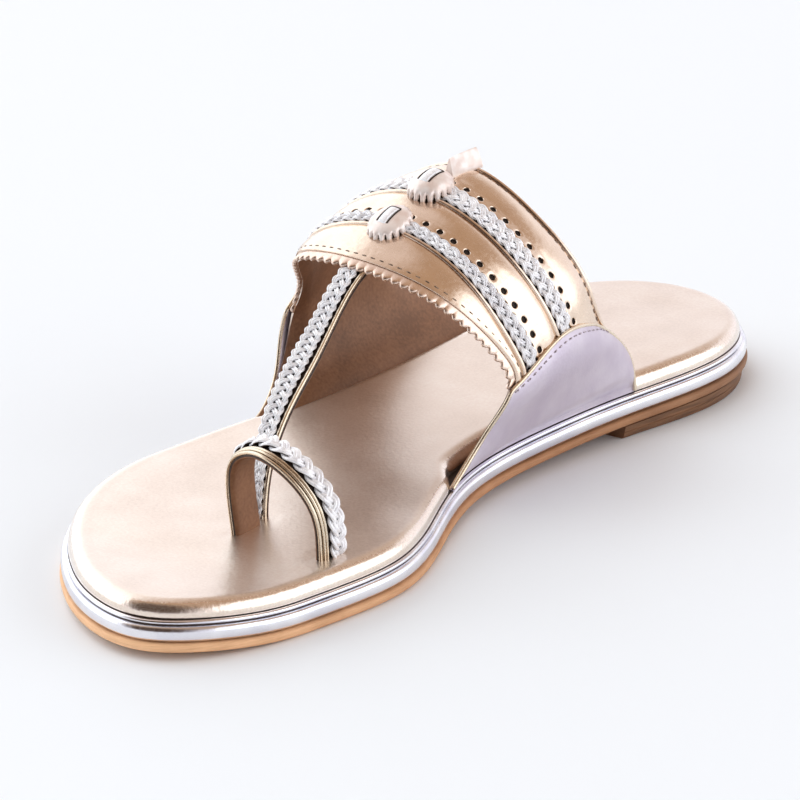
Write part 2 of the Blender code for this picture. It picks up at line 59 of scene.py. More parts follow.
def add_node(tree, kind, inputs=None, stops=None, out=0, **settings):
    """Adds a node with its settings, and gives back one of its outputs. An input given as a socket
    is linked, any other is a value. stops are the places and colours of a colour ramp."""
    made = tree.nodes.new("ShaderNode" + kind)
    for key, value in settings.items():
        setattr(made, key, value)
    for key, value in (inputs or {}).items():
        if isinstance(value, bpy.types.NodeSocket):
            tree.links.new(value, made.inputs[key])
        else:
            made.inputs[key].default_value = value
    if stops:
        band = made.color_ramp.elements
        band.remove(band[1])
        band[0].position, band[0].color = stops[0][0], linear(stops[0][1])
        for place, colour in stops[1:]:
            band.new(place).color = linear(colour)
    return made.outputs[out]


EYE = Vector((0.5615, -0.7813, 0.4060))      # a metre off, beyond the toe on the medial side
AIM = Vector((0.0032, -0.0020, 0.0213))
ROLL = math.radians(-0.51)
LENS = 182.0              # on a sensor 36 mm wide

camera = bpy.data.objects.new("camera", bpy.data.cameras.new("camera"))
camera.location = EYE
camera.rotation_euler = ((AIM - EYE).to_track_quat("-Z", "Y")
                         @ Quaternion((0, 0, 1), ROLL)).to_euler()
camera.data.lens = LENS
camera.data.sensor_width = 36.0
scene.collection.objects.link(camera)
scene.camera = camera
scene.view_settings.view_transform = "Standard"

# The room: a pale backdrop that darkens and warms overhead, with one pale ceiling panel, an unlit
# gap beyond the toe, and a tall soft box on each side. Round patches are given by azimuth from the
# toe, elevation, radius and the softness of the edge, in degrees.
BOXES = [(-92, 12, 47, 5, 1.75), (112, 12, 36, 5, 2.0)]      # and how bright each one is
UNLIT = (12, 25, 43, 16)
PANEL = (-115, 62, 19, 7)
ROOM_LIGHT = 1.2
FILL_LIGHT = 1.65
FILL_TILT = (30, -30)     # degrees towards the toe and the lateral side


def patch_of_room(tree, direction, azimuth, elevation, radius, soft):
    """1 inside a round patch of the room and 0 outside; azimuth turns towards medial."""
    turn, up = math.radians(azimuth), math.radians(elevation)
    middle = math.sin(turn) * math.cos(up), -math.cos(turn) * math.cos(up), math.sin(up)
    facing = add_node(tree, "VectorMath", {0: direction, 1: middle}, out="Value",
                      operation="DOT_PRODUCT")
    return add_node(tree, "MapRange", {
        "Value": facing, 1: math.cos(math.radians(radius + soft)),
        2: math.cos(math.radians(radius - soft)), 3: 0.0, 4: 1.0},
        interpolation_type="SMOOTHSTEP")


world = bpy.data.worlds.new("studio")
world.use_nodes = True
scene.world = world
tree = world.node_tree
direction = add_node(tree, "TexCoord", out="Generated")
height = add_node(tree, "SeparateXYZ", {0: direction}, out="Z")
walls = add_node(tree, "ValToRGB", {"Fac": height}, [
    (0.0, "#F6F6FF"), (0.44, "#F5F2F6"), (0.63, "#BAA494"), (0.95, "#B0967F")])
shade = add_node(tree, "ValToRGB", {"Fac": height}, [
    (0.0, "#B5B0B8"), (0.13, "#655A57"), (0.3, "#483A31"), (0.95, "#524238")])
gap = patch_of_room(tree, direction, *UNLIT)
room = add_node(tree, "Mix", {0: gap, 6: walls, 7: shade}, out=2, data_type="RGBA")
panel = patch_of_room(tree, direction, *PANEL)
room = add_node(tree, "Mix", {0: panel, 6: room, 7: linear("#D8CCC8")}, out=2, data_type="RGBA")
power = ROOM_LIGHT
for *place, light in BOXES:
    box = patch_of_room(tree, direction, *place)
    room = add_node(tree, "Mix", {0: box, 6: room, 7: linear("#F6FAFF")}, out=2, data_type="RGBA")
    power = add_node(tree, "MapRange", {"Value": box, 1: 0.0, 2: 1.0, 3: power, 4: light})
tree.links.new(room, tree.nodes["Background"].inputs["Color"])
tree.links.new(power, tree.nodes["Background"].inputs["Strength"])

# A wide diffuse sheet, high beyond the toe on the lateral side, fills the shadows. Mirrors don't
# see it, so shiny leather shows only the room.
sheet = bpy.data.objects.new("sheet", bpy.data.lights.new("sheet", "SUN"))
sheet.data.energy = FILL_LIGHT
sheet.data.angle = math.radians(90)
sheet.data.color = linear("#E8F6FF")[:3]
sheet.rotation_euler = (math.radians(FILL_TILT[0]), math.radians(FILL_TILT[1]), 0)
sheet.visible_glossy = False
scene.collection.objects.link(sheet)

bpy.ops.mesh.primitive_grid_add(x_subdivisions=4, y_subdivisions=4, size=8)
floor = bpy.context.object
floor.name = "floor"
paper = bpy.data.materials.new("matt_white_paper")
paper.use_nodes = True
shader = paper.node_tree.nodes["Principled BSDF"]
shader.inputs["Base Color"].default_value = linear("#EDF0F3")
shader.inputs["Roughness"].default_value = 0.6
floor.data.materials.append(paper)


# ---------------------------------------------------------------- outsole
# One flat cut of vegetable-tanned sole leather with a bare tan edge. It stands a little proud of
# the foil rand, is raised at the waist and springs up at the toe.

MM = 0.001
GAP = 0.3                 # what touching layers leave between them
OUTLINE = [               # station and side of the sole's outline
    (-3.4, 0.1), (5.3, 22.7), (29.3, 34.1), (64.9, 28.3), (99.9, 21.1), (131.5, 20.0),
    (157.1, 27.8), (180.3, 34.1), (205.5, 30.8), (230.6, 22.4), (246.6, 4.9), (243.3, -12.9),
    (231.1, -29.7), (206.6, -48.7), (175.0, -55.7), (139.4, -47.4), (99.6, -39.4),
    (59.6, -36.0), (27.0, -32.6), (4.8, -20.1)]
UNDERSIDE = [             # station and height of the outsole's underside
    (-6, 4.2), (35, 4.7), (70, 3.9), (95, 3.0), (120, 2.1), (145, 1.1), (166, 0.0),
    (214, 0.0), (250, 2.2)]
OUTSOLE_SIDE = [          # inset from the outline and height over the underside
    (6.0, 0.0), (0.5, 0.0), (-0.05, 0.08), (-0.5, 0.35), (-0.72, 0.75), (-0.8, 1.2),
    (-0.8, 1.5), (-0.76, 1.85), (-0.6, 2.1), (-0.2, 2.3), (0.6, 2.35), (6.0, 2.35)]
OUTLINE_POINTS = 1440
SECTIONS = 170            # stations along each half of a layer


def spline(knots, rows, at, closed=False):
    """Points of the smooth cubic curve that passes through rows at the given knots."""
    x = np.asarray(knots, float)
    y = np.asarray(rows, float)
    count = len(x)
    step = np.diff(x)
    slope = np.diff(y, axis=0) / step[:, None]
    matrix = np.zeros((count, count))
    target = np.zeros_like(y)
    for i in range(1, count - 1):
        matrix[i, i - 1:i + 2] = step[i - 1], 2 * (step[i - 1] + step[i]), step[i]
        target[i] = 6 * (slope[i] - slope[i - 1])
    matrix[0, 0] = 1
    matrix[-1, -1] = 1
    if closed:
        matrix[0, -1] = -1
        matrix[-1, :] = 0
        matrix[-1, 0] = 2 * (step[0] + step[-1])
        matrix[-1, 1] = step[0]
        matrix[-1, -2] = step[-1]
        target[-1] = 6 * (slope[0] - slope[-1])
    bend = np.linalg.solve(matrix, target)
    at = np.asarray(at, float)
    i = np.clip(np.searchsorted(x, at, side="right") - 1, 0, count - 2)
    h = step[i][..., None]
    b = (at - x[i])[..., None] / h
    a = 1 - b
    return a * y[i] + b * y[i + 1] + ((a**3 - a) * bend[i] + (b**3 - b) * bend[i + 1]) * h**2 / 6


def lengths(points):
    """How far along a line of points each of them lies."""
    return np.r_[0, np.cumsum(np.linalg.norm(np.diff(points, axis=0), axis=1))]


def rounded(rows, count):
    """Rows of a smooth profile through the given ones, at even distances along it."""
    rows = np.array(rows, float)
    knots = lengths(rows)
    return spline(knots, rows, np.linspace(0, knots[-1], count))


def underside(station):
    """Height of the outsole's underside, on a curve that never overshoots its rows."""
    x, y = np.array(UNDERSIDE, float).T
    step = np.diff(x)
    grade = np.diff(y) / step
    slope = np.zeros_like(y)
    both = grade[:-1] * grade[1:] > 0
    slope[1:-1][both] = 2 / (1 / grade[:-1][both] + 1 / grade[1:][both])
    station = np.clip(station, x[0], x[-1])
    i = np.clip(np.searchsorted(x, station, side="right") - 1, 0, len(x) - 2)
    h = step[i]
    t = (station - x[i]) / h
    return (y[i] * (1 + 2 * t) * (1 - t)**2 + y[i + 1] * t**2 * (3 - 2 * t)
            + h * slope[i] * t * (1 - t)**2 - h * slope[i + 1] * t**2 * (1 - t))


def trace_outline():
    """The outline as a dense loop, with the inward direction at each of its points."""
    loop = np.vstack([OUTLINE, OUTLINE[:1]])
    knots = lengths(loop)
    points = spline(knots, loop, np.linspace(0, knots[-1], OUTLINE_POINTS + 1)[:-1], closed=True)
    ahead = np.roll(points, -1, axis=0) - np.roll(points, 1, axis=0)
    ahead /= np.hypot(*ahead.T)[:, None]
    inward = np.c_[ahead[:, 1], -ahead[:, 0]]
    return points, inward * np.sign(((points.mean(axis=0) - points) * inward).sum())


CURVE, INWARD = trace_outline()
STATION_MID, SIDE_MID = (CURVE.max(axis=0) + CURVE.min(axis=0)) / 2


def to_scene(points):
    """Foot frame in millimetres to the scene in metres."""
    station, side, height = np.moveaxis(np.asarray(points, float), -1, 0)
    return np.stack([side - SIDE_MID, STATION_MID - station, height], axis=-1) * MM


def rim(inset, end=None, sections=SECTIONS):
    """One ring of a layer: heel tip, medial side, toe tip, lateral side. With end, the ring stops
    at that station in a straight cross edge."""
    curve = CURVE + inset * INWARD
    curve = np.roll(curve, -curve[:, 0].argmin(), axis=0)
    toe = curve[:, 0].argmax()
    halves = (curve[:toe + 1], np.vstack([curve[toe:], curve[:1]])[::-1])
    share = np.linspace(0, 1, sections + 1)
    if end is None:
        reach = (curve[toe, 0] - curve[0, 0]) * (1 - np.cos(np.pi * share)) / 2
    else:
        reach = (end - curve[0, 0]) * (1 - np.cos(np.pi / 2 * share))
    stop = sections if end is None else sections + 1
    medial, lateral = (np.c_[curve[0, 0] + reach, np.interp(curve[0, 0] + reach, *half.T)][1:stop]
                       for half in halves)
    tip = [curve[toe:toe + 1]] if end is None else []
    return np.vstack([curve[:1], medial, *tip, lateral[::-1]])


class Shape:
    """Points in the foot frame and faces, gathered from several parts of one piece."""

    def __init__(self):
        self.points, self.faces, self.kinds, self.total = [], [], [], 0

    def add(self, points, faces, kind=0):
        """Adds points and faces; kind is the number of the material they wear."""
        points = np.asarray(points, float).reshape(-1, 3)
        self.points.append(points)
        self.faces += [tuple(self.total + i for i in face) for face in faces]
        self.kinds += list(kind) if hasattr(kind, "__len__") else [kind] * len(faces)
        self.total += len(points)

    def grid(self, points, kind=0, wrap=False):
        """Adds a grid of points as quads. With wrap, its last row joins its first."""
        rows, columns = points.shape[:2]
        faces = []
        for i in range(rows if wrap else rows - 1):
            for j in range(columns - 1):
                a, b = i * columns + j, (i + 1) % rows * columns + j
                faces.append((a, a + 1, b + 1, b))
        self.add(points, faces, kind)

    def build(self, name, materials, sharp=40):
        """Makes the object: near points are joined and open ends closed."""
        mesh = bpy.data.meshes.new(name)
        mesh.from_pydata(to_scene(np.vstack(self.points)).tolist(), [], self.faces)
        mesh.polygons.foreach_set("material_index", self.kinds)
        form = bmesh.new()
        form.from_mesh(mesh)
        bmesh.ops.remove_doubles(form, verts=form.verts, dist=3e-6)
        bmesh.ops.holes_fill(form, edges=[edge for edge in form.edges if edge.is_boundary])
        bmesh.ops.recalc_face_normals(form, faces=form.faces)
        form.to_mesh(mesh)
        form.free()
        mesh.shade_smooth()
        mesh.set_sharp_from_angle(angle=math.radians(sharp))
        for material in materials:
            mesh.materials.append(material)
        piece = bpy.data.objects.new(name, mesh)
        scene.collection.objects.link(piece)
        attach(piece, "root")
        return piece


def layer(rings, across=8, end=None, crown=None):
    """A sole layer lofted through rings of plan points and heights, closed below and above in
    strips from the medial to the lateral side. crown shapes the top inside its rim."""
    shape = Shape()
    size = len(rings[0][0])
    loops = np.array([np.c_[plan, height] for plan, height in rings])
    shape.grid(np.concatenate([loops, loops[:, :1]], axis=1))
    last = size // 2 if end is None else size // 2 + 1
    share = np.linspace(0, 1, across + 1)[None, :, None]
    for loop, top in ((loops[0], False), (loops[-1], True)):
        medial, lateral = loop[1:last, None], loop[:-last:-1, None]
        strip = medial * (1 - share) + lateral * share
        if top and crown:
            strip[:, 1:-1, 2] += crown(strip[:, 1:-1])
        shape.grid(strip)
        tips = [(loop[:1], strip[0])] + ([(loop[last:last + 1], strip[-1])] if end is None else [])
        for tip, row in tips:
            shape.add(np.vstack([tip, row]), [(0, i + 1, i + 2) for i in range(across)])
    return shape


def leather(name, colour, metallic, roughness, **sockets):
    """A material with its constant sockets set, with its node tree, its shader and the output that
    gives places on the object."""
    material = bpy.data.materials.new(name)
    material.use_nodes = True
    shader = material.node_tree.nodes["Principled BSDF"]
    shader.inputs["Base Color"].default_value = linear(colour)
    shader.inputs["Metallic"].default_value = metallic
    shader.inputs["Roughness"].default_value = roughness
    for key, value in sockets.items():
        shader.inputs[key.replace("_", " ")].default_value = value
    tree = material.node_tree
    return material, tree, shader, add_node(tree, "TexCoord", out="Object")


def finish_surface(tree, shader, colour, relief, depth, strength):
    """Gives a shader its surface's colour, and a relief of a depth in millimetres."""
    tree.links.new(colour, shader.inputs["Base Color"])
    bump = add_node(tree, "Bump", {"Height": relief, "Distance": depth * MM, "Strength": strength})
    tree.links.new(bump, shader.inputs["Normal"])


# Vegetable-tanned leather, cut and sanded: matt, with fibres along the cut edge, blotched where the
# dye went in unevenly. Its edge runs from light tan at the toe to brown at the heel: painted shade.
sole_leather, tree, shader, place = leather("sanded_sole_leather", "#C89A74", 0.0, 0.62)
fibres = add_node(tree, "Mapping", {"Vector": place, "Scale": (150, 150, 2800)})
grain = add_node(tree, "TexNoise", {"Vector": fibres, "Scale": 1.0, "Detail": 5.0})
blotch = add_node(tree, "TexNoise", {"Vector": place, "Scale": 110.0, "Detail": 3.0})
mixed = add_node(tree, "Math", {0: grain, 1: blotch}, operation="ADD")
mixed = add_node(tree, "Math", {0: mixed, 1: 0.5}, operation="MULTIPLY")
uneven = add_node(tree, "ValToRGB", {"Fac": mixed}, [(0.32, "#DCD4CC"), (0.68, "#FFFFFF")])
length = add_node(tree, "SeparateXYZ", {0: place}, out="Y")
along = add_node(tree, "MapRange", {"Value": length, 1: -0.11, 2: 0.11})
painted_shade_to_heel = add_node(tree, "ValToRGB", {"Fac": along}, [
    (0.0, "#FFCA9A"), (0.45, "#CE966A"), (0.62, "#C28B60"), (1.0, "#966C4C")])
tone = add_node(tree, "Mix", {0: 1.0, 6: painted_shade_to_heel, 7: uneven}, out=2, data_type="RGBA",
                blend_type="MULTIPLY")
finish_surface(tree, shader, tone, grain, 0.12, 0.8)


def stack(side, base):
    """Rings of a sole layer, from rows of inset and height over the outsole's underside."""
    return [(rim(inset), underside(rim(inset)[:, 0]) + base + height) for inset, height in side]


outsole = layer(stack(OUTSOLE_SIDE, 0)).build("outsole_cut", [sole_leather])
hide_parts("outsole")


# ---------------------------------------------------------------- heel
# A low lift of two layers of the same leather, glued under the outsole. Its straight breast faces
# the waist.

HEEL_END = 70.0
HEEL_SIDE = [             # inset, and share of the height up to the outsole; a score at mid height
    (6.0, 0.0), (1.4, 0.0), (0.9, 0.06), (0.65, 0.2), (0.55, 0.47), (0.75, 0.5), (0.5, 0.53),
    (0.3, 0.8), (0.2, 0.97), (0.4, 1.0), (6.0, 1.0)]

# Stacked heel leather: the same hide, made darker brown as painted shade, with level layers
heel_leather, tree, shader, place = leather("heel_leather_painted_shade", "#70492E", 0.0, 0.6)
layers = add_node(tree, "Mapping", {"Vector": place, "Scale": (90, 90, 1500)})
grain = add_node(tree, "TexNoise", {"Vector": layers, "Scale": 1.0, "Detail": 4.0})
tone = add_node(tree, "ValToRGB", {"Fac": grain}, [(0.3, "#5F3F28"), (0.7, "#8A6040")])
finish_surface(tree, shader, tone, grain, 0.15, 0.8)

heel_rings = [(rim(inset, HEEL_END), share * (underside(rim(inset, HEEL_END)[:, 0]) - GAP))
              for inset, share in HEEL_SIDE]
heel = layer(heel_rings, end=HEEL_END).build("heel_lift", [heel_leather])
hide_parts("heel")


# ---------------------------------------------------------------- rand
# A strip of silver foil leather wrapped round the midsole and lasted under. A cord under the foil
# makes the thin bead along its top, with a groove below it.

RAND_BASE = 2.65
RAND_SIDE = [
    (6.0, 0.0), (1.2, 0.0), (0.4, 0.05), (-0.12, 0.35), (-0.42, 0.95), (-0.5, 1.8),
    (-0.46, 2.65), (-0.25, 3.3), (0.12, 3.7), (0.55, 3.86), (0.92, 3.9), (0.95, 4.22),
    (0.68, 4.3), (0.5, 4.52), (0.5, 4.8), (0.68, 5.04), (1.0, 5.2), (1.3, 5.24), (1.6, 5.25),
    (4.0, 5.25), (6.0, 5.25)]
RAND_PAINTED_SHADE = [10, 17, 18, 19]     # rows in painted shade: the bottom of the groove, and the top under the footbed's edge


def foil(name, colours, smooth, pore, dent_width, dent, spread=0.2, dull=0.08):
    """Foil laminated on leather: a clear mirror, softened by the hide's pores and by soft dents of
    a width and depth in millimetres. spread is how gradually its two tones meet, and dull how much
    rougher than smooth it gets between pores."""
    material, tree, shader, place = leather(name, colours[1], 1.0, smooth)
    pores = add_node(tree, "TexNoise", {"Vector": place, "Scale": 1 / (pore * MM), "Detail": 3.0})
    dents = add_node(tree, "TexNoise", {"Vector": place, "Scale": 1 / (dent_width * MM),
                                        "Detail": 2.0})
    tone = add_node(tree, "ValToRGB", {"Fac": dents}, [(0.5 - spread, colours[0]),
                                                       (0.5 + spread, colours[1])])
    tree.links.new(tone, shader.inputs["Base Color"])
    rough = add_node(tree, "MapRange", {"Value": pores, 1: 0.35, 2: 0.65, 3: smooth - 0.05,
                                        4: smooth + dull})
    tree.links.new(rough, shader.inputs["Roughness"])
    soft = add_node(tree, "Bump", {"Height": dents, "Distance": dent * MM, "Strength": 0.5})
    fine = add_node(tree, "Bump", {"Height": pores, "Distance": 0.03 * MM, "Strength": 0.6,
                                   "Normal": soft})
    tree.links.new(fine, shader.inputs["Normal"])
    return material


def matt_dark(name, dark, light, roughness, speck):
    """A matt dark material with fine specks of a size in millimetres: painted shade, and ink on cut
    edges.
    """
    material, tree, shader, place = leather(name, dark, 0.0, roughness)
    specks = add_node(tree, "TexNoise", {"Vector": place, "Scale": 1 / (speck * MM), "Detail": 2.0})
    tone = add_node(tree, "ValToRGB", {"Fac": specks}, [(0.3, dark), (0.7, light)])
    tree.links.new(tone, shader.inputs["Base Color"])
    return material


# Silver foil on split leather: near mirror, softened by the hide's fine grain and by small dents
silver_foil = foil("silver_foil_leather", ("#E3E2EA", "#F4F3F6"), 0.2, 0.9, 11, 0.5,
                   spread=0.15, dull=0.07)

# Dark matt brown: painted shade in grooves, gaps and under the plaits, and ink on cut edges
ink_and_painted_shade = matt_dark("brown_ink_and_painted_shade", "#2C201A", "#4A382E", 0.6, 0.6)

rand = layer(stack(RAND_SIDE, RAND_BASE))
around = 2 * SECTIONS
for row in RAND_PAINTED_SHADE:
    rand.kinds[row * around:(row + 1) * around] = [1] * around
rand = rand.build("foil_rand", [silver_foil, ink_and_painted_shade], sharp=60)
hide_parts("midsole")


# ---------------------------------------------------------------- footbed
# A foam pad covered in champagne foil leather, its edge rolled over and glued to the rand. Slots
# let the toe strap and both legs of the ring through. The heel is left plain.

FOOTBED_BASE = 8.2
FOOTBED_SIDE = [
    (3.2, -0.2), (1.9, -0.2), (1.48, 0.0), (1.42, 0.5), (1.53, 1.3), (1.78, 1.98), (2.22, 2.69),
    (2.8, 3.28), (3.46, 3.68), (4.19, 3.93), (4.9, 4.0), (6.5, 4.0), (9.0, 4.0)]
WALL = 2.0                # the vamp with its lining
UPPER_INSET = 2.0         # the vamp's foot, in from the edge of the sole
NOTCH_DEPTH = UPPER_INSET + WALL + 3 * GAP - 1.5
NOTCH_REACH = 1.5
NOTCH_FADE = 9.0
VAMP_FOOT = {"medial": (65.1, 142.5), "lateral": (47.5, 138.5)}    # stations where it stands
SLOTS = [                 # station, side, length along the foot and across it
    (185.8, -5.0, 2.6, 5.6), (195.2, 22.5, 10.0, 3.4), (194.3, -2.6, 10.0, 3.4)]
HOLLOWS = [               # station, side, reach along the foot and across it, depth
    (32, 1, 26, 20, 0.35), (178, -12, 22, 26, 0.3)]
HOLLOW_START = 9.0        # how far in from the sole's edge they start
HOLLOW_FADE = 11.0        # and over what distance they fade in
PINCH_DEPTH = 0.12        # how far the leather is drawn in at a slot
PINCH_REACH = 1.6         # and how far round it


def ease(value):
    """Smooth step from 0 to 1."""
    t = np.clip(value, 0, 1)
    return t * t * (3 - 2 * t)


def footbed_ring(inset):
    """A ring of the footbed, drawn in where the vamp and the wings pass outside it."""
    ring = rim(inset)
    station, side = ring.T
    near = side > SIDE_MID
    rear = np.where(near, VAMP_FOOT["medial"][0], VAMP_FOOT["lateral"][0])
    front = np.where(near, VAMP_FOOT["medial"][1], VAMP_FOOT["lateral"][1])
    share = (ease((station - rear + NOTCH_REACH) / NOTCH_FADE)
             * ease((front + NOTCH_REACH - station) / NOTCH_FADE))[:, None]
    return ring * (1 - share) + rim(inset + NOTCH_DEPTH) * share


def cushion(points):
    """The pad's own relief: a faint hollow for the heel and the ball, pinched in at its slots."""
    station, side = points[..., 0], points[..., 1]
    relief = np.zeros(station.shape)
    for at, off, long, wide, depth in HOLLOWS:
        relief -= depth * np.exp(-((station - at) / long)**2 - ((side - off) / wide)**2)
    edge = np.array([np.hypot(*(CURVE - spot).T).min() for spot in points[..., :2].reshape(-1, 2)])
    relief *= ease((edge.reshape(relief.shape) - HOLLOW_START) / HOLLOW_FADE)
    for at, off, long, wide in SLOTS:
        away = np.hypot(np.maximum(abs(station - at) - long / 2, 0),
                        np.maximum(abs(side - off) - wide / 2, 0))
        relief -= PINCH_DEPTH * np.exp(-(away / PINCH_REACH)**2)
    return relief


# Champagne foil on sheep nappa: a soft metallic sheen over small pebbled grain, under a thin clear
# finish. Where it is stretched over the rolled edge it is smoother and shines more.
champagne, tree, shader, place = leather("champagne_foil_nappa", "#EFDECF", 0.95, 0.34,
                                         Coat_Weight=1.0, Coat_Roughness=0.25)
pebble = add_node(tree, "TexVoronoi", {"Vector": place, "Scale": 1 / (1.1 * MM)},
                  feature="SMOOTH_F1")
pores = add_node(tree, "TexNoise", {"Vector": place, "Scale": 1 / (0.7 * MM), "Detail": 4.0})
cloud = add_node(tree, "TexNoise", {"Vector": place, "Scale": 1 / (16 * MM), "Detail": 3.0})
grain = add_node(tree, "Math", {0: pebble, 1: pores}, operation="ADD")
shade = add_node(tree, "Math", {0: pores, 1: cloud}, operation="ADD")
shade = add_node(tree, "Math", {0: shade, 1: 0.5}, operation="MULTIPLY")
tone = add_node(tree, "ValToRGB", {"Fac": shade}, [
    (0.34, "#E4D2C2"), (0.5, "#EFDECF"), (0.66, "#F7EADD")])
finish_surface(tree, shader, tone, grain, 0.045, 0.7)
facing = add_node(tree, "NewGeometry", out="Normal")
level = add_node(tree, "SeparateXYZ", {0: facing}, out="Z")
flat = add_node(tree, "MapRange", {"Value": level, 1: 0.7, 2: 0.99, 3: 0.14, 4: 0.35},
                interpolation_type="SMOOTHSTEP")
uneven = add_node(tree, "MapRange", {"Value": pores, 1: 0.3, 2: 0.7, 3: -0.02, 4: 0.08})
rough = add_node(tree, "Math", {0: flat, 1: uneven}, operation="ADD")
tree.links.new(rough, shader.inputs["Roughness"])

footbed_rings = []
for inset, height in rounded(FOOTBED_SIDE, 28):
    ring = footbed_ring(inset)
    footbed_rings.append((ring, underside(ring[:, 0]) + FOOTBED_BASE + height))
footbed = layer(footbed_rings, across=52, crown=cushion).build("footbed_pad", [champagne])
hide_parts("footbed")


# ---------------------------------------------------------------- vamp wall
# The base of the vamp: taupe split outside, made dark as painted shade where it shows between the
# plaits, a brown lining inside and champagne edges. Its two feet are lasted under the footbed's edge.

FRONT_EDGE = [            # station, side and height, from the medial foot to the lateral foot
    (142.5, 20.8, 10.4), (129.2, 21.3, 19.8), (121.9, 24.7, 30.5), (123.3, 21.4, 39.9),
    (132.4, 9.8, 54.1), (135.5, -12.6, 59.9), (131.5, -33.4, 56.9), (118.6, -43.0, 45.2),
    (113.3, -49.6, 32.8), (120.3, -49.5, 17.5), (138.5, -45.8, 9.4)]
REAR_EDGE = [
    (65.1, 26.5, 11.9), (67.7, 25.0, 23.6), (77.4, 23.4, 33.7), (82.4, 20.7, 48.1),
    (85.1, 8.0, 62.6), (85.6, -11.4, 72.1), (85.5, -29.9, 66.1), (82.8, -43.7, 53.2),
    (76.3, -46.4, 38.0), (63.1, -43.1, 25.3), (47.5, -33.5, 12.6)]
CROWN = 3.0               # how far the vamp swells between its edges, at the instep
ARCH_CORE = (-12.0, 15.0)  # side and height of the line that it swells away from
FOOT_BLEND = 0.22         # share of the arch over which its foot settles onto the sole's curve
UPRIGHT_FOOT = 0.05       # share of the arch over which the layers turn upright
CREST_REACH = 0.25        # share of the arch, each side of its top, over which the crest fades
NUDGE = 0.004             # step in s and t over which slopes are taken
FOOT_RING = rim(UPPER_INSET)


def arch_foot(t, medial):
    """Where the vamp's foot stands on the rand, from the front (t = 0) to the rear."""
    rear, front = VAMP_FOOT["medial" if medial else "lateral"]
    station = front + (rear - front) * t
    half = len(FOOT_RING) // 2
    rows = FOOT_RING[:half + 1] if medial else np.vstack([FOOT_RING[half:], FOOT_RING[:1]])[::-1]
    return np.stack([station, np.interp(station, *rows.T), underside(station) + FOOTBED_BASE],
                    axis=-1)


def vamp_point(s, t):
    """Point of the vamp's base leather: a swelling web between its edges, on the sole's curve."""
    knots = np.linspace(0, 1, len(FRONT_EDGE))
    front, rear = np.array(FRONT_EDGE), np.array(REAR_EDGE)
    point = spline(knots, front, s) * (1 - t)[..., None] + spline(knots, rear, s) * t[..., None]
    away = point - np.stack([point[..., 0], np.full_like(s, ARCH_CORE[0]),
                             np.full_like(s, ARCH_CORE[1])], axis=-1)
    away /= np.linalg.norm(away, axis=-1)[..., None]
    point = point + away * (CROWN * np.sin(np.pi * s) * 4 * t * (1 - t))[..., None]
    for medial, distance, end in ((True, s, 0), (False, 1 - s, -1)):
        straight = front[end] * (1 - t)[..., None] + rear[end] * t[..., None]
        share = np.clip(1 - distance / FOOT_BLEND, 0, 1)**2
        point = point + (arch_foot(t, medial) - straight) * share[..., None]
    return point


def vamp(s, t):
    """Points of the vamp's base leather and the outward direction there. s runs over the instep
    from the medial foot to the lateral foot, t from the front edge to the rear edge."""
    s, t = np.broadcast_arrays(np.asarray(s, float), np.asarray(t, float))
    over = vamp_point(np.clip(s + NUDGE, 0, 1), t) - vamp_point(np.clip(s - NUDGE, 0, 1), t)
    back = vamp_point(s, t + NUDGE) - vamp_point(s, t - NUDGE)
    normal = np.cross(back, over)
    normal /= np.linalg.norm(normal, axis=-1)[..., None]
    # at its foot every layer stands upright on the rand
    normal[..., 2] *= ease(np.minimum(s, 1 - s) / UPRIGHT_FOOT)
    normal /= np.linalg.norm(normal, axis=-1)[..., None]
    return vamp_point(s, t), normal


def stretch(s, t, over=0.0, back=NUDGE):
    """Millimetres on the vamp for each unit of t, or for each unit of s if over is the step."""
    step = vamp_point(s + over, t + back) - vamp_point(s - over, t - back)
    return np.linalg.norm(step, axis=-1) / (2 * (over + back))


def crest(s):
    """1 on top of the instep, falling to 0 on its sides: the lines of the vamp bow back there."""
    return np.cos(np.pi / 2 * np.clip(abs(s - 0.5) / CREST_REACH, 0, 1))**2


def skin(shape, surface, s, t, low, high, kinds=(0, 0, 0)):
    """Adds a closed solid between two offsets of a surface over the grid s by t. kinds are the
    materials of its outer face, its inner face and its edges."""
    point, normal = surface(s, t)
    outer = point + normal * np.broadcast_to(high, s.shape)[..., None]
    inner = point + normal * np.broadcast_to(low, s.shape)[..., None]
    shape.grid(outer, kinds[0])
    shape.grid(inner, kinds[1])
    for a, b in ((outer[0], inner[0]), (outer[-1], inner[-1]),
                 (outer[:, 0], inner[:, 0]), (outer[:, -1], inner[:, -1])):
        shape.grid(np.stack([a, b]), kinds[2])


# Taupe split leather, seen only between the strips of the plaits and made dark as painted shade:
# dull, with a short nap
taupe_painted_shade, tree, shader, place = leather("taupe_split_painted_shade", "#6A5E60", 0.1, 0.6)
nap = add_node(tree, "TexNoise", {"Vector": place, "Scale": 1 / (0.6 * MM), "Detail": 3.0})
tone = add_node(tree, "ValToRGB", {"Fac": nap}, [(0.35, "#564B4D"), (0.65, "#7C7072")])
finish_surface(tree, shader, tone, nap, 0.1, 0.7)

# Brown pigskin lining with a thin waxy coat: half matt, with small scattered pores
lining, tree, shader, place = leather("brown_pigskin_lining", "#6B4F3B", 0.3, 0.48)
pores = add_node(tree, "TexNoise", {"Vector": place, "Scale": 1 / (0.9 * MM), "Detail": 4.0})
cloud = add_node(tree, "TexNoise", {"Vector": place, "Scale": 1 / (13 * MM), "Detail": 2.0})
shade = add_node(tree, "Math", {0: pores, 1: cloud}, operation="ADD")
shade = add_node(tree, "Math", {0: shade, 1: 0.5}, operation="MULTIPLY")
tone = add_node(tree, "ValToRGB", {"Fac": shade}, [(0.35, "#785238"), (0.65, "#9A6C4C")])
finish_surface(tree, shader, tone, pores, 0.08, 0.6)

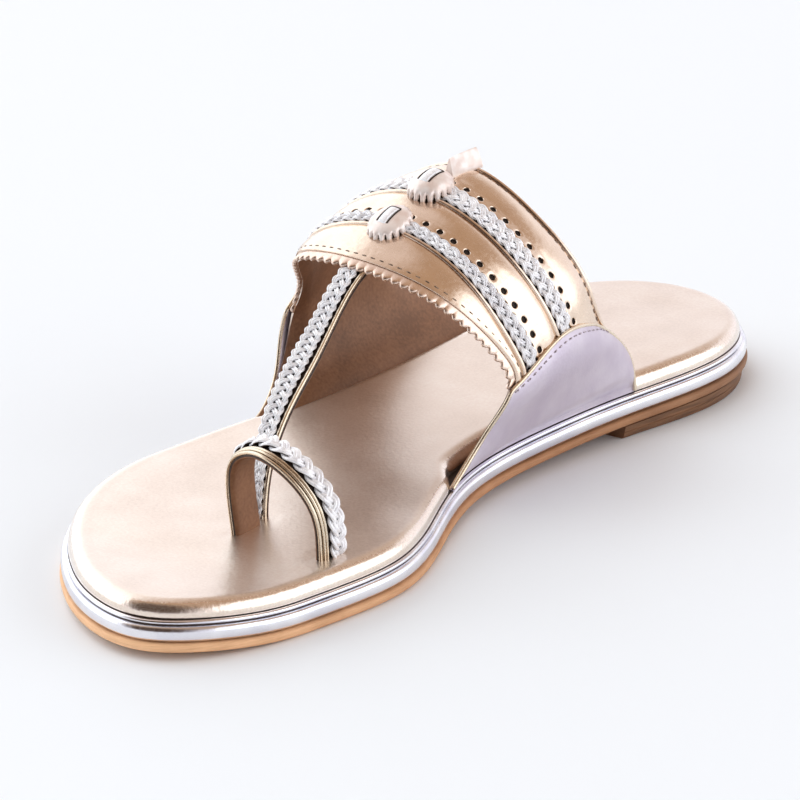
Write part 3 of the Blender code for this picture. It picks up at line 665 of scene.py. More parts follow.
# the wall is skived thin at both edges, wider and thinner on its legs beside the foot
SKIVE_FRONT, SKIVE_REAR = 0.09, 0.06      # widths in t
SKIVE_LEG = 0.1           # what the legs add to them
EDGE_LEFT, EDGE_LEFT_LEG = 0.45, 0.1      # share of the wall left at its edges
LEG_TOP = 0.17            # share of the arch at which a leg begins to end
LEG_FADE = 0.08           # and over which it does

wall = Shape()
wall_s, wall_t = np.meshgrid(np.linspace(0, 1, 161), np.linspace(0.004, 0.997, 25), indexing="ij")
leg = 1 - ease((np.minimum(wall_s, 1 - wall_s) - LEG_TOP) / LEG_FADE)
full = (ease(wall_t / (SKIVE_FRONT + SKIVE_LEG * leg))
        * ease((1 - wall_t) / (SKIVE_REAR + SKIVE_LEG * leg)))
left = EDGE_LEFT * (1 - leg) + EDGE_LEFT_LEG * leg
skin(wall, vamp, wall_s, wall_t, -WALL * (left + (1 - left) * full), 0.15, (0, 1, 2))
wall = wall.build("vamp_wall", [taupe_painted_shade, lining, champagne], sharp=50)
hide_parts("upper")


# ---------------------------------------------------------------- foil bands
# Three bands of gold foil leather over the instep, each rolled under at the rear. The front one
# lies on a pinked trim; the other two have a scalloped edge with a punched hole in each scallop.

WING_FOOT = 0.205         # where the wing's top edge meets the vamp's edges, as a share of the arch
WING_CROWN = 0.045        # what the wing gains between them
WING_ROUND = 0.03         # what its rear corner loses
HOLE_PITCH = 4.5
HOLE_RADIUS = 0.85
HOLE_CELL = 1.45          # half of the foil kept for the row of holes
SCALLOP = 0.7             # how far each scallop stands forward
PINK_PITCH = 2.6
PINK = 1.0                # how far each point of the pinked trim stands forward
FOIL = 0.8                # the foil's height over the base leather, at its edges
PUFF = 0.45               # what the foam under it adds
ROLL = 1.3                # width of the rolled rear edge
BED = 0.12                # underside of the foil


def wing_top(t):
    """How far up the arch a wing reaches at depth t; its rear corner is rounded off."""
    t = np.clip(t, 0, 1)
    return (WING_FOOT + WING_CROWN * np.sin(np.pi * t)
            - WING_ROUND * np.clip((t - 0.86) / 0.14, 0, 1)**2.5)


class Line:
    """A line over the instep from foot to foot, at depth t = share + gain * crest(s)."""

    def __init__(self, share, gain=0.0):
        self.share, self.gain = share, gain
        self.s = np.linspace(0, 1, 1201)
        self.run = lengths(vamp_point(self.s, self.depth(self.s)))

    def depth(self, s):
        """t of the line at s."""
        return self.share + self.gain * crest(s)

    def ends(self, margin=0.0):
        """Lengths along the line at which it meets the two wings, less a margin in s."""
        low = wing_top(self.share) + margin
        return np.interp([low, 1 - low], self.s, self.run)

    def place(self, length, ahead=0.0):
        """s and t at a length along the line and some millimetres ahead of it."""
        s = np.interp(length, self.run, self.s)
        t = self.depth(s)
        return s, t - ahead / stretch(s, t)


def raised(s, t, height):
    """Points at a height over the vamp's base leather, with the outward direction there."""
    point, normal = vamp(s, t)
    return point + normal * (np.zeros(point.shape[:-1]) + height)[..., None], normal


def rows_over_vamp(rows):
    """Grid of points from rows of s, t and height."""
    size = rows[0][0].shape
    s, t, height = (np.array([np.broadcast_to(row[k], size) for row in rows]) for k in range(3))
    return raised(s, t, height)[0]


def hole_cell(shape, line, middle, half):
    """A patch of foil with one punched hole, from a square outer ring, which meets the rows around
    it, over the hole's rounded lip and down its wall to its floor."""
    wide = half * np.linspace(-1, 1, 9)
    tall = HOLE_CELL * np.linspace(1, -1, 7)
    square = np.vstack([np.c_[wide, np.full(9, HOLE_CELL)], np.c_[np.full(7, half), tall][1:],
                        np.c_[wide[::-1], np.full(9, -HOLE_CELL)][1:],
                        np.c_[np.full(7, -half), tall[::-1]][1:-1]])
    turn = np.arctan2(square[:, 1] / HOLE_CELL, square[:, 0] / half)
    circle = np.c_[np.cos(turn), np.sin(turn)]
    rings = [(square, FOIL), ((square + 1.25 * circle) / 2, FOIL + 0.01)]
    rings += [(circle * radius, height) for radius, height in (
        (1.12, FOIL), (0.98, FOIL - 0.05), (HOLE_RADIUS, FOIL - 0.18),
        (HOLE_RADIUS - 0.04, FOIL - 0.4), (HOLE_RADIUS - 0.1, BED + 0.06), (0.02, BED + 0.04))]
    flat = np.array([ring for ring, height in rings])
    flat = np.concatenate([flat, flat[:, :1]], axis=1)
    s, t = line.place(middle + flat[..., 0], flat[..., 1])
    points = raised(s, t, np.array([[height] for ring, height in rings]))[0]
    shape.grid(points[:5])
    # the lip's inside, the wall and the floor in near-black painted shade
    shape.grid(points[4:], 1)


def foil_band(name, front, rear, ahead_of_front, materials):
    """A band from a front line to a rear line. ahead_of_front says how far its front edge stands
    before its line, from the number of pitches run; with holes it keeps room for their cells. Its
    rows run from the front edge's underside over the puffed middle and round the rolled rear edge."""
    holes = ahead_of_front is scalloped
    low, high = front.ends(min(wing_top(rear.share) - wing_top(front.share), 0) - 0.008)
    pitch = HOLE_PITCH if holes else PINK_PITCH
    count = round((high - low) / pitch)
    pitch = (high - low) / count
    columns = np.linspace(low, high, 8 * count + 1)
    edge = ahead_of_front((columns - low) / pitch)
    keep = HOLE_CELL if holes else 0.5
    rows = [front.place(columns, ahead) + (height,) for ahead, height in (
        (edge, BED), (edge, FOIL * 0.55), (edge - 0.12, FOIL * 0.85), (edge - 0.4, FOIL),
        ((edge - 0.4 + keep) / 2, FOIL), (np.full_like(columns, keep), FOIL))]
    s, near = front.place(columns, -keep)
    far = rear.depth(s)
    step = stretch(s, far)
    start = near if holes else rows[-1][1]
    stop = far - (ROLL + 0.3) / step
    main = [(s, start + (stop - start) * share, FOIL + PUFF * np.sin(np.pi * share)**0.7)
            for share in np.linspace(0, 1, 12)]
    roll = [(s, far - ROLL / 2 / step - ROLL / 2 * np.cos(turn) / step,
             FOIL - 0.1 + ROLL * 0.5 * np.sin(turn)) for turn in np.linspace(0.1, np.pi * 1.05, 10)]
    roll.append((s, far - 0.5 / step, np.full_like(s, BED)))
    shape = Shape()
    blocks = [rows, main + roll + rows[:1]] if holes else [rows[:-1] + main + roll + rows[:1]]
    for block in blocks:
        shape.grid(rows_over_vamp(block))
    if holes:
        for i in range(count):
            hole_cell(shape, front, low + (i + 0.5) * pitch, pitch / 2)
    band = shape.build(name, materials, sharp=50)
    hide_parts("upper")
    return band


def scalloped(run):
    """How far a scalloped front edge stands ahead: one arc over each hole."""
    return HOLE_CELL + SCALLOP * abs(np.sin(np.pi * run))**0.8


def folded(run):
    """A folded front edge stands evenly ahead of its line."""
    return np.full_like(run, 0.5)


# Gold foil on thin leather: a clear warm mirror, with soft dents where the foam under it gives
gold_foil = foil("gold_foil_leather", ("#E6D0BC", "#F0DBC8"), 0.2, 0.8, 7, 0.35)

# Gold foil on the firmer leather of the trim: rosier, and duller from its pinking
trim_foil = foil("rose_gold_foil_trim", ("#E6CDBC", "#F0DACA"), 0.3, 0.8, 7, 0.2)

# Inside a punched hole and along the rosettes' slits: near-black painted shade
hole_painted_shade = matt_dark("punched_hole_painted_shade", "#1E1611", "#3A2C22", 0.8, 0.5)

# Lines from foot to foot, by their depth at the sides and what they add to it on the instep
PINKED_EDGE = Line(0.0)
FRONT_FOLD = Line(0.052)
ROLL_FRONT = Line(0.125, 0.165)
HOLES_FRONT = Line(0.29, 0.11)
ROLL_MIDDLE = Line(0.50, 0.10)
HOLES_REAR = Line(0.69, 0.085)
REAR_LINE = Line(1.0)

foil_band("band_front", FRONT_FOLD, ROLL_FRONT, folded, [gold_foil])
foil_band("band_middle", HOLES_FRONT, ROLL_MIDDLE, scalloped, [gold_foil, hole_painted_shade])
foil_band("band_rear", HOLES_REAR, REAR_LINE, scalloped, [gold_foil, hole_painted_shade])

# the pinked trim under the front band, with a small pillow in each point; its rows run from its
# underside over the points to where the band hides it
trim = Shape()
low, high = PINKED_EDGE.ends(-0.004)
count = round((high - low) / PINK_PITCH)
columns = np.linspace(low, high, 10 * count + 1)
point = abs(np.sin(np.pi * (columns - low) / (high - low) * count))**0.9
trim_rows = [PINKED_EDGE.place(columns, ahead) + (height,) for ahead, height in (
    (PINK * point - 0.1, -0.4), (PINK * point, -0.05), (PINK * point - 0.06, 0.24 + 0.06 * point),
    (PINK * point - 0.35, 0.36 + 0.14 * point), (PINK * point * 0.4 - 0.6, 0.4 + 0.16 * point),
    (-1.2 + 0 * point, 0.42 + 0.07 * point), (-2.0 + 0 * point, 0.44), (-3.4 + 0 * point, 0.44),
    (-3.4 + 0 * point, BED - 0.2))]
trim_rows.append(trim_rows[0])
trim.grid(rows_over_vamp(trim_rows))
trim = trim.build("pinked_trim", [trim_foil], sharp=60)
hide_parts("upper")


# ---------------------------------------------------------------- stitches
# Waxed thread: a tan row along the front band's folded edge, a brown one along the vamp's rear
# edge. Each stitch sinks a little into the foil.

STITCH_PITCH = 2.6
STITCH = 1.65             # visible length of one stitch
SUNK = 0.34               # how far its ends sink into the foil
ROUND = [(math.cos(a), math.sin(a)) for a in np.linspace(0, 2 * np.pi, 11)[:-1]]


def sweep(shape, line, up, wide, thick, section=ROUND, kind=0, loop=False):
    """Adds a strip with the given section (in half widths and half thicknesses) along a line of
    points, with one outward direction for each."""
    line = np.asarray(line, float)
    if loop:
        ahead = np.roll(line, -1, axis=0) - np.roll(line, 1, axis=0)
    else:
        ahead = np.gradient(line, axis=0)
    ahead /= np.linalg.norm(ahead, axis=1)[:, None]
    across = np.cross(ahead, up)
    across /= np.linalg.norm(across, axis=1)[:, None]
    out = np.cross(across, ahead)
    wide, thick = (np.zeros(len(line)) + size for size in (wide, thick))
    rings = np.array([line + across * (x * wide / 2)[:, None] + out * (z * thick / 2)[:, None]
                      for x, z in [*section, section[0]]])
    if loop:
        rings = np.concatenate([rings, rings[:, :1]], axis=1)
    shape.grid(rings, kind)


def sew(shape, place, low, high, pitch, size, long, sunk):
    """Adds a row of stitches between two distances. place(run, sink) gives points along a stitch
    and the outward directions there."""
    count = round((high - low) / pitch)
    for middle in low + (np.arange(count) + 0.5) * (high - low) / count:
        step = np.linspace(-1, 1, 9)
        point, normal = place(middle + step * long / 2, sunk * step**4)
        bulge = size * np.sqrt(1 - 0.82 * step**6)
        sweep(shape, point, normal, bulge, bulge)


def stitch_row(name, line, ahead, climb, size, material):
    """A row of stitches of one thread along a line over the vamp, as one piece. It climbs towards
    its ends, where the band under it is narrow and steep."""
    def on_foil(run, sink):
        s, t = line.place(run, ahead)
        return raised(s, t, FOIL + 0.12 + climb * (2 * s - 1)**2 - sink)

    shape = Shape()
    sew(shape, on_foil, *line.ends(0.004), STITCH_PITCH, size, STITCH, SUNK)
    row = shape.build(name, [material])
    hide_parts("upper")


def thread(name, dark, light):
    """Waxed polyester thread: half matt, with its twist showing as fine slanting bars."""
    material, tree, shader, place = leather(name, light, 0.0, 0.5)
    twist = add_node(tree, "TexWave", {"Vector": place, "Scale": 1 / (2.2 * MM), "Distortion": 1.0},
                     out="Fac", bands_direction="DIAGONAL")
    tone = add_node(tree, "ValToRGB", {"Fac": twist}, [(0.2, dark), (0.8, light)])
    finish_surface(tree, shader, tone, twist, 0.06, 0.8)
    return material


stitch_row("stitches_front", FRONT_FOLD, ahead=-0.75, climb=0.85, size=0.46,
           material=thread("waxed_tan_thread", "#4E3C2F", "#8C735F"))
stitch_row("stitches_rear", REAR_LINE, ahead=2.1, climb=0.3, size=0.34,
           material=thread("waxed_brown_thread", "#5C4738", "#8E7560"))


# ---------------------------------------------------------------- plaits on the vamp
# Silver foil leather cut in strips, plaited in five and laid in the beds between the bands. Each
# strip is folded double, so it shows two ridges; its underside and lower edges are drawn in dark
# painted shade, which shows in the gaps between strips. The ends are tucked under.

PLAIT_BED = 5.5           # width of the bed that the plait is drawn for
TUCK = 2.5                # length over which an end is tucked under
DARK_FROM = 8             # number of the first side of a strip's section in painted shade, from there round its underside
TWIN = [                  # section of a strip, in half widths and half thicknesses
    (-1.0, -0.2), (-0.92, 0.5), (-0.62, 0.95), (-0.3, 0.85), (0.0, 0.25), (0.3, 0.85),
    (0.62, 0.95), (0.92, 0.5), (1.0, -0.2), (0.7, -0.9), (-0.7, -0.9)]


def plait(shape, place, length, reach, strands, pitch, wide, thick, weave, broad=np.ones_like):
    """Plaits strands over a surface. place(run, across, height) gives points and outward
    directions; reach is how far a strand swings to each side, pitch the distance from one lobe to
    the next on the same side, weave how far a strand goes up and down, and broad(run) widens the
    plait where its bed is wider."""
    run = np.linspace(0, length, int(length / 0.4))
    sides = [int(side >= DARK_FROM) for side in range(len(TWIN))]
    painted_shade_sides = np.repeat(sides, len(run) - 1).tolist()
    inside = ease(run / TUCK) * ease((length - run) / TUCK)
    for strand in range(strands):
        phase = 2 * np.pi * (run / (pitch * strands) + strand / strands)
        across = reach * (np.sin(phase) + 0.06 * np.sin(3 * phase)) * (0.55 + 0.45 * inside)
        across = across * broad(run)
        height = weave * np.sin((strands - 1) * phase) - 0.9 * (1 - inside)
        point, normal = place(run, across, height)
        sweep(shape, point, normal, wide * broad(run), thick, TWIN, painted_shade_sides)


# Crinkled silver foil on thin strips: bright, slightly broken mirror
plait_silver, tree, shader, place = leather("crinkled_silver_foil_strip", "#F6F5F7", 0.25, 0.26)
crinkle = add_node(tree, "TexNoise", {"Vector": place, "Scale": 1 / (0.8 * MM), "Detail": 2.0})
patch = add_node(tree, "TexNoise", {"Vector": place, "Scale": 1 / (2.5 * MM), "Detail": 2.0})
tone = add_node(tree, "ValToRGB", {"Fac": patch}, [(0.35, "#EFEDF0"), (0.65, "#FFFEFF")])
finish_surface(tree, shader, tone, crinkle, 0.12, 0.6)
rough = add_node(tree, "MapRange", {"Value": patch, 1: 0.3, 2: 0.7, 3: 0.2, 4: 0.4})
tree.links.new(rough, shader.inputs["Roughness"])

for row, roll_line, hole_line in (("front", ROLL_FRONT, HOLES_FRONT),
                                  ("rear", ROLL_MIDDLE, HOLES_REAR)):
    centre = Line((roll_line.share + hole_line.share) / 2, (roll_line.gain + hole_line.gain) / 2)
    low, high = centre.ends(-0.002)
    middle = np.interp(0.5, centre.s, centre.run)
    for side, start, stop in (("medial", low, middle - 2.0), ("lateral", middle + 2.0, high)):

        def over_vamp(run, across, height, start=start, centre=centre):
            s, t = centre.place(start + run, 0.95 + across)
            return raised(s, t, 1.15 + height)

        def bed_width(run, start=start, centre=centre, near=roll_line, far=hole_line):
            s, t = centre.place(start + run)
            bed = raised(s, far.depth(s), 0)[0] - raised(s, near.depth(s), 0)[0]
            return (np.linalg.norm(bed, axis=-1) - HOLE_CELL - SCALLOP / 2) / PLAIT_BED

        shape = Shape()
        plait(shape, over_vamp, stop - start, reach=1.95, strands=5, pitch=3.2, wide=1.38,
              thick=0.8, weave=0.42, broad=bed_width)
        braid = shape.build(f"plait_{row}_{side}", [plait_silver, ink_and_painted_shade], sharp=60)
        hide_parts(f"braid_{row}_{side}")


# ---------------------------------------------------------------- wings
# Half-round side pieces of pearl leather over a thin pad, sewn over the ends of the bands. A gold
# cord edges each one, and a row of stitches runs inside it.

WING_BASE = (0.2, 0.85)   # its underside over the bare vamp and over the ends of the bands
WING_SKIN = 0.35          # thickness of the leather alone, at its edges
WING_PUFF = 2.3
WING_CORD = 1.1
WING_STITCH = (2.3, 0.42, 1.44, 0.3)    # pitch, thickness, length, and how far its ends sink
WING_STITCH_UP = 0.945    # share of the wing's height at which they run

# Pearl leather: mauve-grey pigment under a clear pearly coat, fine even grain
pearl, tree, shader, place = leather("pearl_coated_leather", "#C4B8C6", 0.55, 0.4,
                                     Coat_Weight=0.25, Coat_Roughness=0.3)
pebble = add_node(tree, "TexVoronoi", {"Vector": place, "Scale": 1 / (0.9 * MM)},
                  feature="SMOOTH_F1")
cloud = add_node(tree, "TexNoise", {"Vector": place, "Scale": 1 / (9 * MM), "Detail": 3.0})
pores = add_node(tree, "TexNoise", {"Vector": place, "Scale": 1 / (0.6 * MM), "Detail": 3.0})
tone = add_node(tree, "ValToRGB", {"Fac": cloud}, [(0.35, "#C9BDCC"), (0.65, "#D6CCD7")])
grain = add_node(tree, "Math", {0: pebble, 1: pores}, operation="ADD")
finish_surface(tree, shader, tone, grain, 0.05, 0.6)

# Gold foil leather rolled round a string: a little duller and yellower than the bands
gold_cord = foil("gold_foil_cord", ("#DCCBB4", "#EBDCC6"), 0.24, 0.8, 7, 0.15)
mauve_thread = thread("waxed_mauve_thread", "#8E8088", "#C6BAC2")


def wing_bed(up):
    """Height of a wing's underside over the vamp's base leather."""
    return WING_BASE[0] + (WING_BASE[1] - WING_BASE[0]) * ease((up - 0.5) / 0.4)


def wing_swell(up, t):
    """Height of the cover over its underside: a soft dome, tucked in over the rand."""
    dome = (1 - (1 - np.clip((1 - up) * 3.0, 0, 1))**2)**0.6
    dome = dome * (1 - (1 - np.clip(np.minimum(t, 1 - t) * 5, 0, 1))**2)**0.5
    dome = dome * (1 - (1 - np.clip((up - 0.07) / (0.12 + 0.12 * t), 0, 1))**2.4)
    return WING_SKIN + WING_PUFF * dome * (0.75 + 0.4 * t)


for side, outward in (("medial", 1), ("lateral", -1)):
    def over_wing(up, t, height=0.0, outward=outward):
        """up runs from the wing's foot (0) to its top edge (1). Its front edge stands ahead of
        the vamp's."""
        s = wing_top(t) * up
        t = t - 0.04 * np.exp(-((up - 0.82) / 0.3)**2) * (1 - t)**5
        return raised(s if outward > 0 else 1 - s, t, height)

    t, up = np.meshgrid(rounded([(0.008, 0.0), (0.2, 0.0), (0.8, 0.0), (0.992, 0.0)], 61)[:, 0],
                        np.linspace(0, 1, 41) * 0.985, indexing="ij")
    shape = Shape()
    skin(shape, over_wing, up, t, wing_bed(up), wing_bed(up) + wing_swell(up, t))
    wing = shape.build(f"wing_{side}_cover", [pearl], sharp=55)
    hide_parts(f"wing_{side}")

    # the cord: up the front edge, over the top and down the rear edge, its corners rounded off
    t = np.r_[np.full(40, 0.006), np.linspace(0.006, 0.994, 140)[1:-1], np.full(40, 0.994)]
    up = np.r_[np.linspace(0.015, 0.99, 40), np.full(138, 0.992), np.linspace(0.99, 0.015, 40)]
    for smoothing in range(6):
        t[1:-1] = (t[:-2] + t[2:] + 2 * t[1:-1]) / 4
        up[1:-1] = (up[:-2] + up[2:] + 2 * up[1:-1]) / 4
    shape = Shape()
    point, normal = over_wing(up, t, wing_bed(up) + 0.55)
    sweep(shape, point, normal, WING_CORD, WING_CORD)
    cord = shape.build(f"wing_{side}_cord", [gold_cord])
    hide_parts(f"wing_{side}")

    # its stitches
    t = np.linspace(0.03, 0.97, 600)
    run = lengths(over_wing(np.full_like(t, WING_STITCH_UP), t)[0])

    def on_wing(at, sink, t=t, run=run, over_wing=over_wing):
        depth = np.interp(at, run, t)
        height = wing_bed(WING_STITCH_UP) + wing_swell(WING_STITCH_UP, depth) + 0.1 - sink
        return over_wing(np.full_like(depth, WING_STITCH_UP), depth, height)

    shape = Shape()
    sew(shape, on_wing, 0, run[-1], *WING_STITCH)
    row = shape.build(f"wing_{side}_stitches", [mauve_thread])
    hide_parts(f"wing_{side}")


# ---------------------------------------------------------------- rosettes
# Two oval buckles of nude foil leather on the ridge, gathered into scallops round a foam core. A
# silver strip shows through between two slits. They cover the inner ends of the plaits.

ROSETTES = [("front", 0.30, 4.4), ("rear", 0.645, 5.8)]      # middle depth and crown
ROSETTE_LONG = 7.0        # half sizes along the foot and across it
ROSETTE_WIDE = 5.3
ROSETTE_BASE = 0.6        # height of its underside over the base leather
ROSETTE_RIM = 1.9
RIM_DROP = 0.75           # how far its rim turns down
PETALS = 18
DOME_RINGS = 12           # rings of points from its middle to where its rim begins
PETAL_DEPTH = 0.22        # share of the radius lost between two petals
PLEAT = 0.38              # height of the pleats at the rim
GROOVE = 0.17             # how fast the shaded grooves widen, ring by ring
STRIP_LONG = 3.2          # half sizes of the silver strip
STRIP_WIDE = 1.1
SLIT_GAP = 0.3            # from the strip to the slits beside it

# Nude foil nappa: soft satin metal, in soft patches of rosier and paler tone
nude, tree, shader, place = leather("nude_foil_nappa", "#E8D2C8", 0.35, 0.33, Coat_Weight=0.3,
                                    Coat_Roughness=0.35)
pores = add_node(tree, "TexNoise", {"Vector": place, "Scale": 1 / (0.7 * MM), "Detail": 3.0})
cloud = add_node(tree, "TexNoise", {"Vector": place, "Scale": 1 / (3 * MM), "Detail": 2.0})
tone = add_node(tree, "ValToRGB", {"Fac": cloud}, [(0.35, "#EAD6CC"), (0.65, "#FAEFE9")])
finish_surface(tree, shader, tone, pores, 0.06, 0.6)


def on_ridge(middle, across, along, height):
    """Points over the ridge, at millimetres across it (to medial) and along it (to the toe) from
    a middle depth."""
    s = np.full_like(across, 0.5)
    t = np.full_like(across, middle)
    return raised(0.5 - across / stretch(s, t, over=NUDGE, back=0.0),
                  middle - along / stretch(s, t), height)


def oval_dome(radius, turn, crown):
    """Height of a rosette at a share of its radius, pleated towards the rim."""
    dome = np.sqrt(np.clip(1 - 0.96 * radius**2, 0, 1))
    pleat = PLEAT * abs(np.sin(PETALS * turn / 2)) * radius**12
    return ROSETTE_RIM - RIM_DROP + pleat + (crown - ROSETTE_RIM + RIM_DROP) * dome


for place_name, middle, crown in ROSETTES:
    turn = np.linspace(0, 2 * np.pi, 16 * PETALS + 1)
    petal = 1 - PETAL_DEPTH * (1 - abs(np.sin(PETALS * turn / 2))**0.6)
    rings = []
    for radius in np.r_[0.02, np.linspace(0.12, 0.9, DOME_RINGS), 0.95, 0.985, 1.0]:
        grow = radius * (1 + (petal - 1) * ease((radius - 0.88) / 0.12))
        drop = RIM_DROP * ease((radius - 0.92) / 0.08)
        rings.append((grow, oval_dome(radius, turn, crown) - drop))
    rings.append((petal * 0.99, np.full_like(turn, ROSETTE_BASE + 0.35)))
    rings.append((petal * 0.9, np.full_like(turn, ROSETTE_BASE)))
    rings.append((petal * 0.02, np.full_like(turn, ROSETTE_BASE)))
    across = np.array([grow * ROSETTE_WIDE * np.cos(turn) for grow, rise in rings])
    along = np.array([grow * ROSETTE_LONG * np.sin(turn) for grow, rise in rings])
    # its scallops are parted by grooves in dark painted shade, which widen from the rim down
    groove = abs(np.sin(PETALS * (turn[1:] + turn[:-1]) / 4))
    kinds = [int(share < GROOVE * (i - DOME_RINGS)) for i in range(len(rings) - 1)
             for share in groove]
    shape = Shape()
    shape.grid(on_ridge(middle, across, along, np.array([rise for grow, rise in rings]))[0], kinds)
    rosette = shape.build(f"rosette_{place_name}_dome", [nude, ink_and_painted_shade], sharp=70)
    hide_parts(f"rosette_{place_name}")

    # the silver strip that threads it, a shallow pillow with square ends
    u, w = np.meshgrid(np.linspace(-1, 1, 13), np.linspace(-1, 1, 21), indexing="ij")
    across, along = u * STRIP_WIDE, w * STRIP_LONG
    away = np.hypot(across / ROSETTE_WIDE, along / ROSETTE_LONG)
    top = oval_dome(away, 0.0 * away, crown)
    swell = (1 - u**6) * (1 - w**10)
    shape = Shape()
    skin(shape, lambda a, b: on_ridge(middle, a, b, 0.0 * a), across, along, top - 0.5,
         top + 0.05 + 0.4 * swell)
    strip = shape.build(f"rosette_{place_name}_strip", [plait_silver], sharp=60)
    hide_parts(f"rosette_{place_name}")

    # its slits: strips of near-black painted shade along both sides and across the far end
    shape = Shape()
    out = STRIP_WIDE + SLIT_GAP
    for path in ([(out, -STRIP_LONG), (out, STRIP_LONG * 0.9)],
                 [(-out, -STRIP_LONG), (-out, STRIP_LONG * 0.9)],
                 [(-out, -STRIP_LONG - 0.2), (out, -STRIP_LONG - 0.2)]):
        across, along = np.linspace(*path, 15).T
        away = np.hypot(across / ROSETTE_WIDE, along / ROSETTE_LONG)
        point, normal = on_ridge(middle, across, along, oval_dome(away, 0.0 * away, crown) + 0.02)
        sweep(shape, point, normal, 0.5, 0.3)
    slits = shape.build(f"rosette_{place_name}_slits", [hole_painted_shade])
    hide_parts(f"rosette_{place_name}")


# ---------------------------------------------------------------- tab
# A tongue of the same nude leather behind the rear rosette, pinched into a fold that rises to a
# point at the vamp's rear edge.

TAB_HALF = 2.2            # half its width
TAB_START, TAB_END = 0.8, 1.02      # depths on the vamp
TAB_BASE = 1.55           # height of its top at the sides
TAB_FOLD = (6.6, 6.0)     # height of its fold, from the rosette to the rear
ARCH_LENGTH = 216         # length of the vamp over the instep

across, rise = np.meshgrid(np.linspace(-1, 1, 33), np.linspace(0, 1, 25), indexing="ij")
fold = TAB_FOLD[0] + (TAB_FOLD[1] - TAB_FOLD[0]) * rise**1.15
peak = (1 - np.sqrt(across**2 + 0.004)) * 1.02
height = TAB_BASE + np.clip(peak, 0, 1)**0.9 * (fold - TAB_BASE)
height = height - 0.3 * np.exp(-((abs(across) - 0.55) / 0.2)**2) * np.sin(np.pi * rise)
s = 0.5 - across * (0.5 + 0.7 * rise) * TAB_HALF / ARCH_LENGTH
t = TAB_START + (TAB_END - TAB_START) * rise
shape = Shape()
skin(shape, vamp, s, t, 1.0, height)
tab = shape.build("tab_fold", [nude], sharp=65)
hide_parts("tab")


# ---------------------------------------------------------------- toe strap
# A narrow strap from under the vamp's front edge down through the footbed between the toes: a
# fine five-strand silver plait on a gold foil base, which is drawn in dark painted shade, with a
# gold cord along its medial side.

STRAP_THICK = 1.7
TOE_STRAP = [             # station, side, height and half width along the middle line
    (124.0, -12.2, 61.6, 3.4), (135.6, -13.4, 57.4, 3.4), (147.1, -13.4, 48.7, 3.4),
    (161.5, -11.1, 40.7, 3.95), (173.6, -8.7, 33.4, 3.4), (182.0, -6.7, 23.6, 2.5),
    (185.6, -5.3, 12.0, 2.0), (185.8, -5.0, 8.3, 1.9)]


def strap_surface(rows, wide_along):
    """Surface of a strap, from rows of station, side, height and half width: s runs along its
    middle line, t from one edge (-1) to the other, which lies towards wide_along."""
    table = np.array(rows)
    chord = lengths(table[:, :3])
    knots = chord / chord[-1]
    core = table[:, :3].mean(axis=0) - (0, 0, table[:, 2].mean())
    whole = spline(knots, table, np.linspace(0, 1, 81))[:, :3]
    turned = np.cross(np.gradient(whole, axis=0), np.array(wide_along, float))
    flip = np.sign((turned * (whole - core)).sum())

    def surface(s, t):
        """Points and the outward direction there."""
        s, t = np.broadcast_arrays(np.asarray(s, float), np.asarray(t, float))
        line = spline(knots, table, s)
        ahead = spline(knots, table, s + 0.002) - spline(knots, table, s - 0.002)
        tangent = ahead[..., :3] / np.linalg.norm(ahead[..., :3], axis=-1)[..., None]
        across = np.broadcast_to(np.array(wide_along, float), tangent.shape)
        across = across - (across * tangent).sum(axis=-1)[..., None] * tangent
        across = across / np.linalg.norm(across, axis=-1)[..., None]
        point = line[..., :3] + across * (t * line[..., 3])[..., None]
        return point, np.cross(tangent, across) * flip
    surface.length = chord[-1]
    return surface


strap = strap_surface(TOE_STRAP, (0, 1, 0))
s, t = np.meshgrid(np.linspace(0, 1, 101), np.sin(np.linspace(-np.pi / 2, np.pi / 2, 13)),
                   indexing="ij")
swell = np.sqrt(1 - 0.97 * t**8)
# the base: its outer face and edges dark, painted shade that shows between the plait's strips
shape = Shape()
skin(shape, strap, s, t, -STRAP_THICK / 2 * swell, STRAP_THICK / 2 * swell, (0, 1, 0))
base = shape.build("toe_strap_base", [ink_and_painted_shade, lining], sharp=60)
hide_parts("upper")

shape = Shape()
run = np.linspace(0.02, 0.995, 140)
point, normal = strap(run, np.full_like(run, 0.87))
sweep(shape, point + normal * (STRAP_THICK / 2 + 0.1), normal, 1.2, 1.15)
cords = shape.build("toe_strap_cords", [gold_cord])
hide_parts("upper")


def over_strap(surface, start, middle, half, base):
    """Places a plait on a strap of a usual half width: from a share of its length, about a line
    across it. The plait widens where the strap does."""
    def place(run, across, height):
        s = start + run / surface.length
        point, normal = surface(s, middle + across / half)
        return point + normal * (base + height)[:, None], normal
    return place
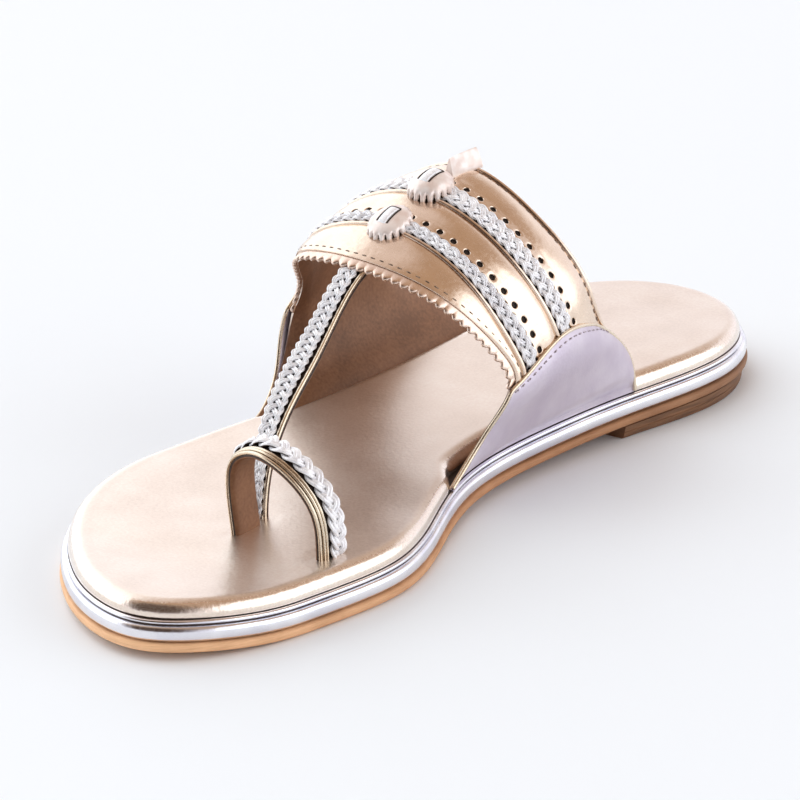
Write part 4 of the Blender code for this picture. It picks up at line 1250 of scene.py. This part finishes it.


# the plait, its strips' undersides in dark painted shade
shape = Shape()
plait(shape, over_strap(strap, 0.12, -0.15, 3.4, STRAP_THICK / 2 + 0.85), strap.length * 0.85,
      reach=2.1, strands=5, pitch=2.6, wide=1.3, thick=0.75, weave=0.4)
braid = shape.build("plait_strap", [plait_silver, taupe_painted_shade], sharp=60)
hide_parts("braid_strap")


# ---------------------------------------------------------------- toe ring
# A loop for the big toe, both legs glued through slots in the footbed. Lined in brown, with three
# gold cords along its front edge and a bold silver plait behind them.

LOOP_THICK = 2.2
RING_CORDS = [            # place across the ring, height over its edge and thickness
    (0.95, 0.14, 0.95), (0.74, 0.595, 0.84), (0.53, 0.665, 0.84)]
TOE_LOOP = [              # rows as for the strap, from the medial leg to the lateral one
    (195.2, 22.5, 8.3, 4.7), (195.5, 22.7, 15.0, 4.7), (196.2, 21.9, 23.6, 4.7),
    (197.2, 17.8, 30.3, 4.7), (197.8, 12.7, 34.1, 4.7), (197.4, 8.0, 35.5, 4.7),
    (196.0, 2.8, 34.8, 4.7), (195.0, -2.5, 31.4, 4.7), (194.5, -4.2, 24.2, 4.7),
    (194.3, -3.4, 15.0, 4.7), (194.3, -2.6, 8.3, 4.7)]

loop = strap_surface(TOE_LOOP, (1, 0, 0))
s, t = np.meshgrid(np.linspace(0, 1, 141), np.sin(np.linspace(-np.pi / 2, np.pi / 2, 15)),
                   indexing="ij")
swell = np.sqrt(1 - 0.95 * t**8)
# the base: its outer face and edges dark, painted shade that shows between the cords and strips
shape = Shape()
skin(shape, loop, s, t, -LOOP_THICK / 2 * swell, LOOP_THICK / 2 * swell - 0.1, (0, 1, 0))
ring_base = shape.build("toe_ring_base", [ink_and_painted_shade, lining], sharp=60)
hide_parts("toe_loop")

shape = Shape()
run = np.linspace(0.005, 0.995, 200)
for across, lift, size in RING_CORDS:
    point, normal = loop(run, np.full_like(run, across))
    sweep(shape, point + normal * (LOOP_THICK / 2 - 0.5 + lift), normal, size, size)
cords = shape.build("toe_ring_cords", [gold_cord])
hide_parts("toe_loop")

shape = Shape()
plait(shape, over_strap(loop, 0.035, -0.23, 4.7, LOOP_THICK / 2 + 0.85), loop.length * 0.93,
      reach=1.8, strands=3, pitch=3.5, wide=2.15, thick=1.05, weave=0.55)
braid = shape.build("plait_ring", [plait_silver, ink_and_painted_shade], sharp=60)
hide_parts("braid_loop")
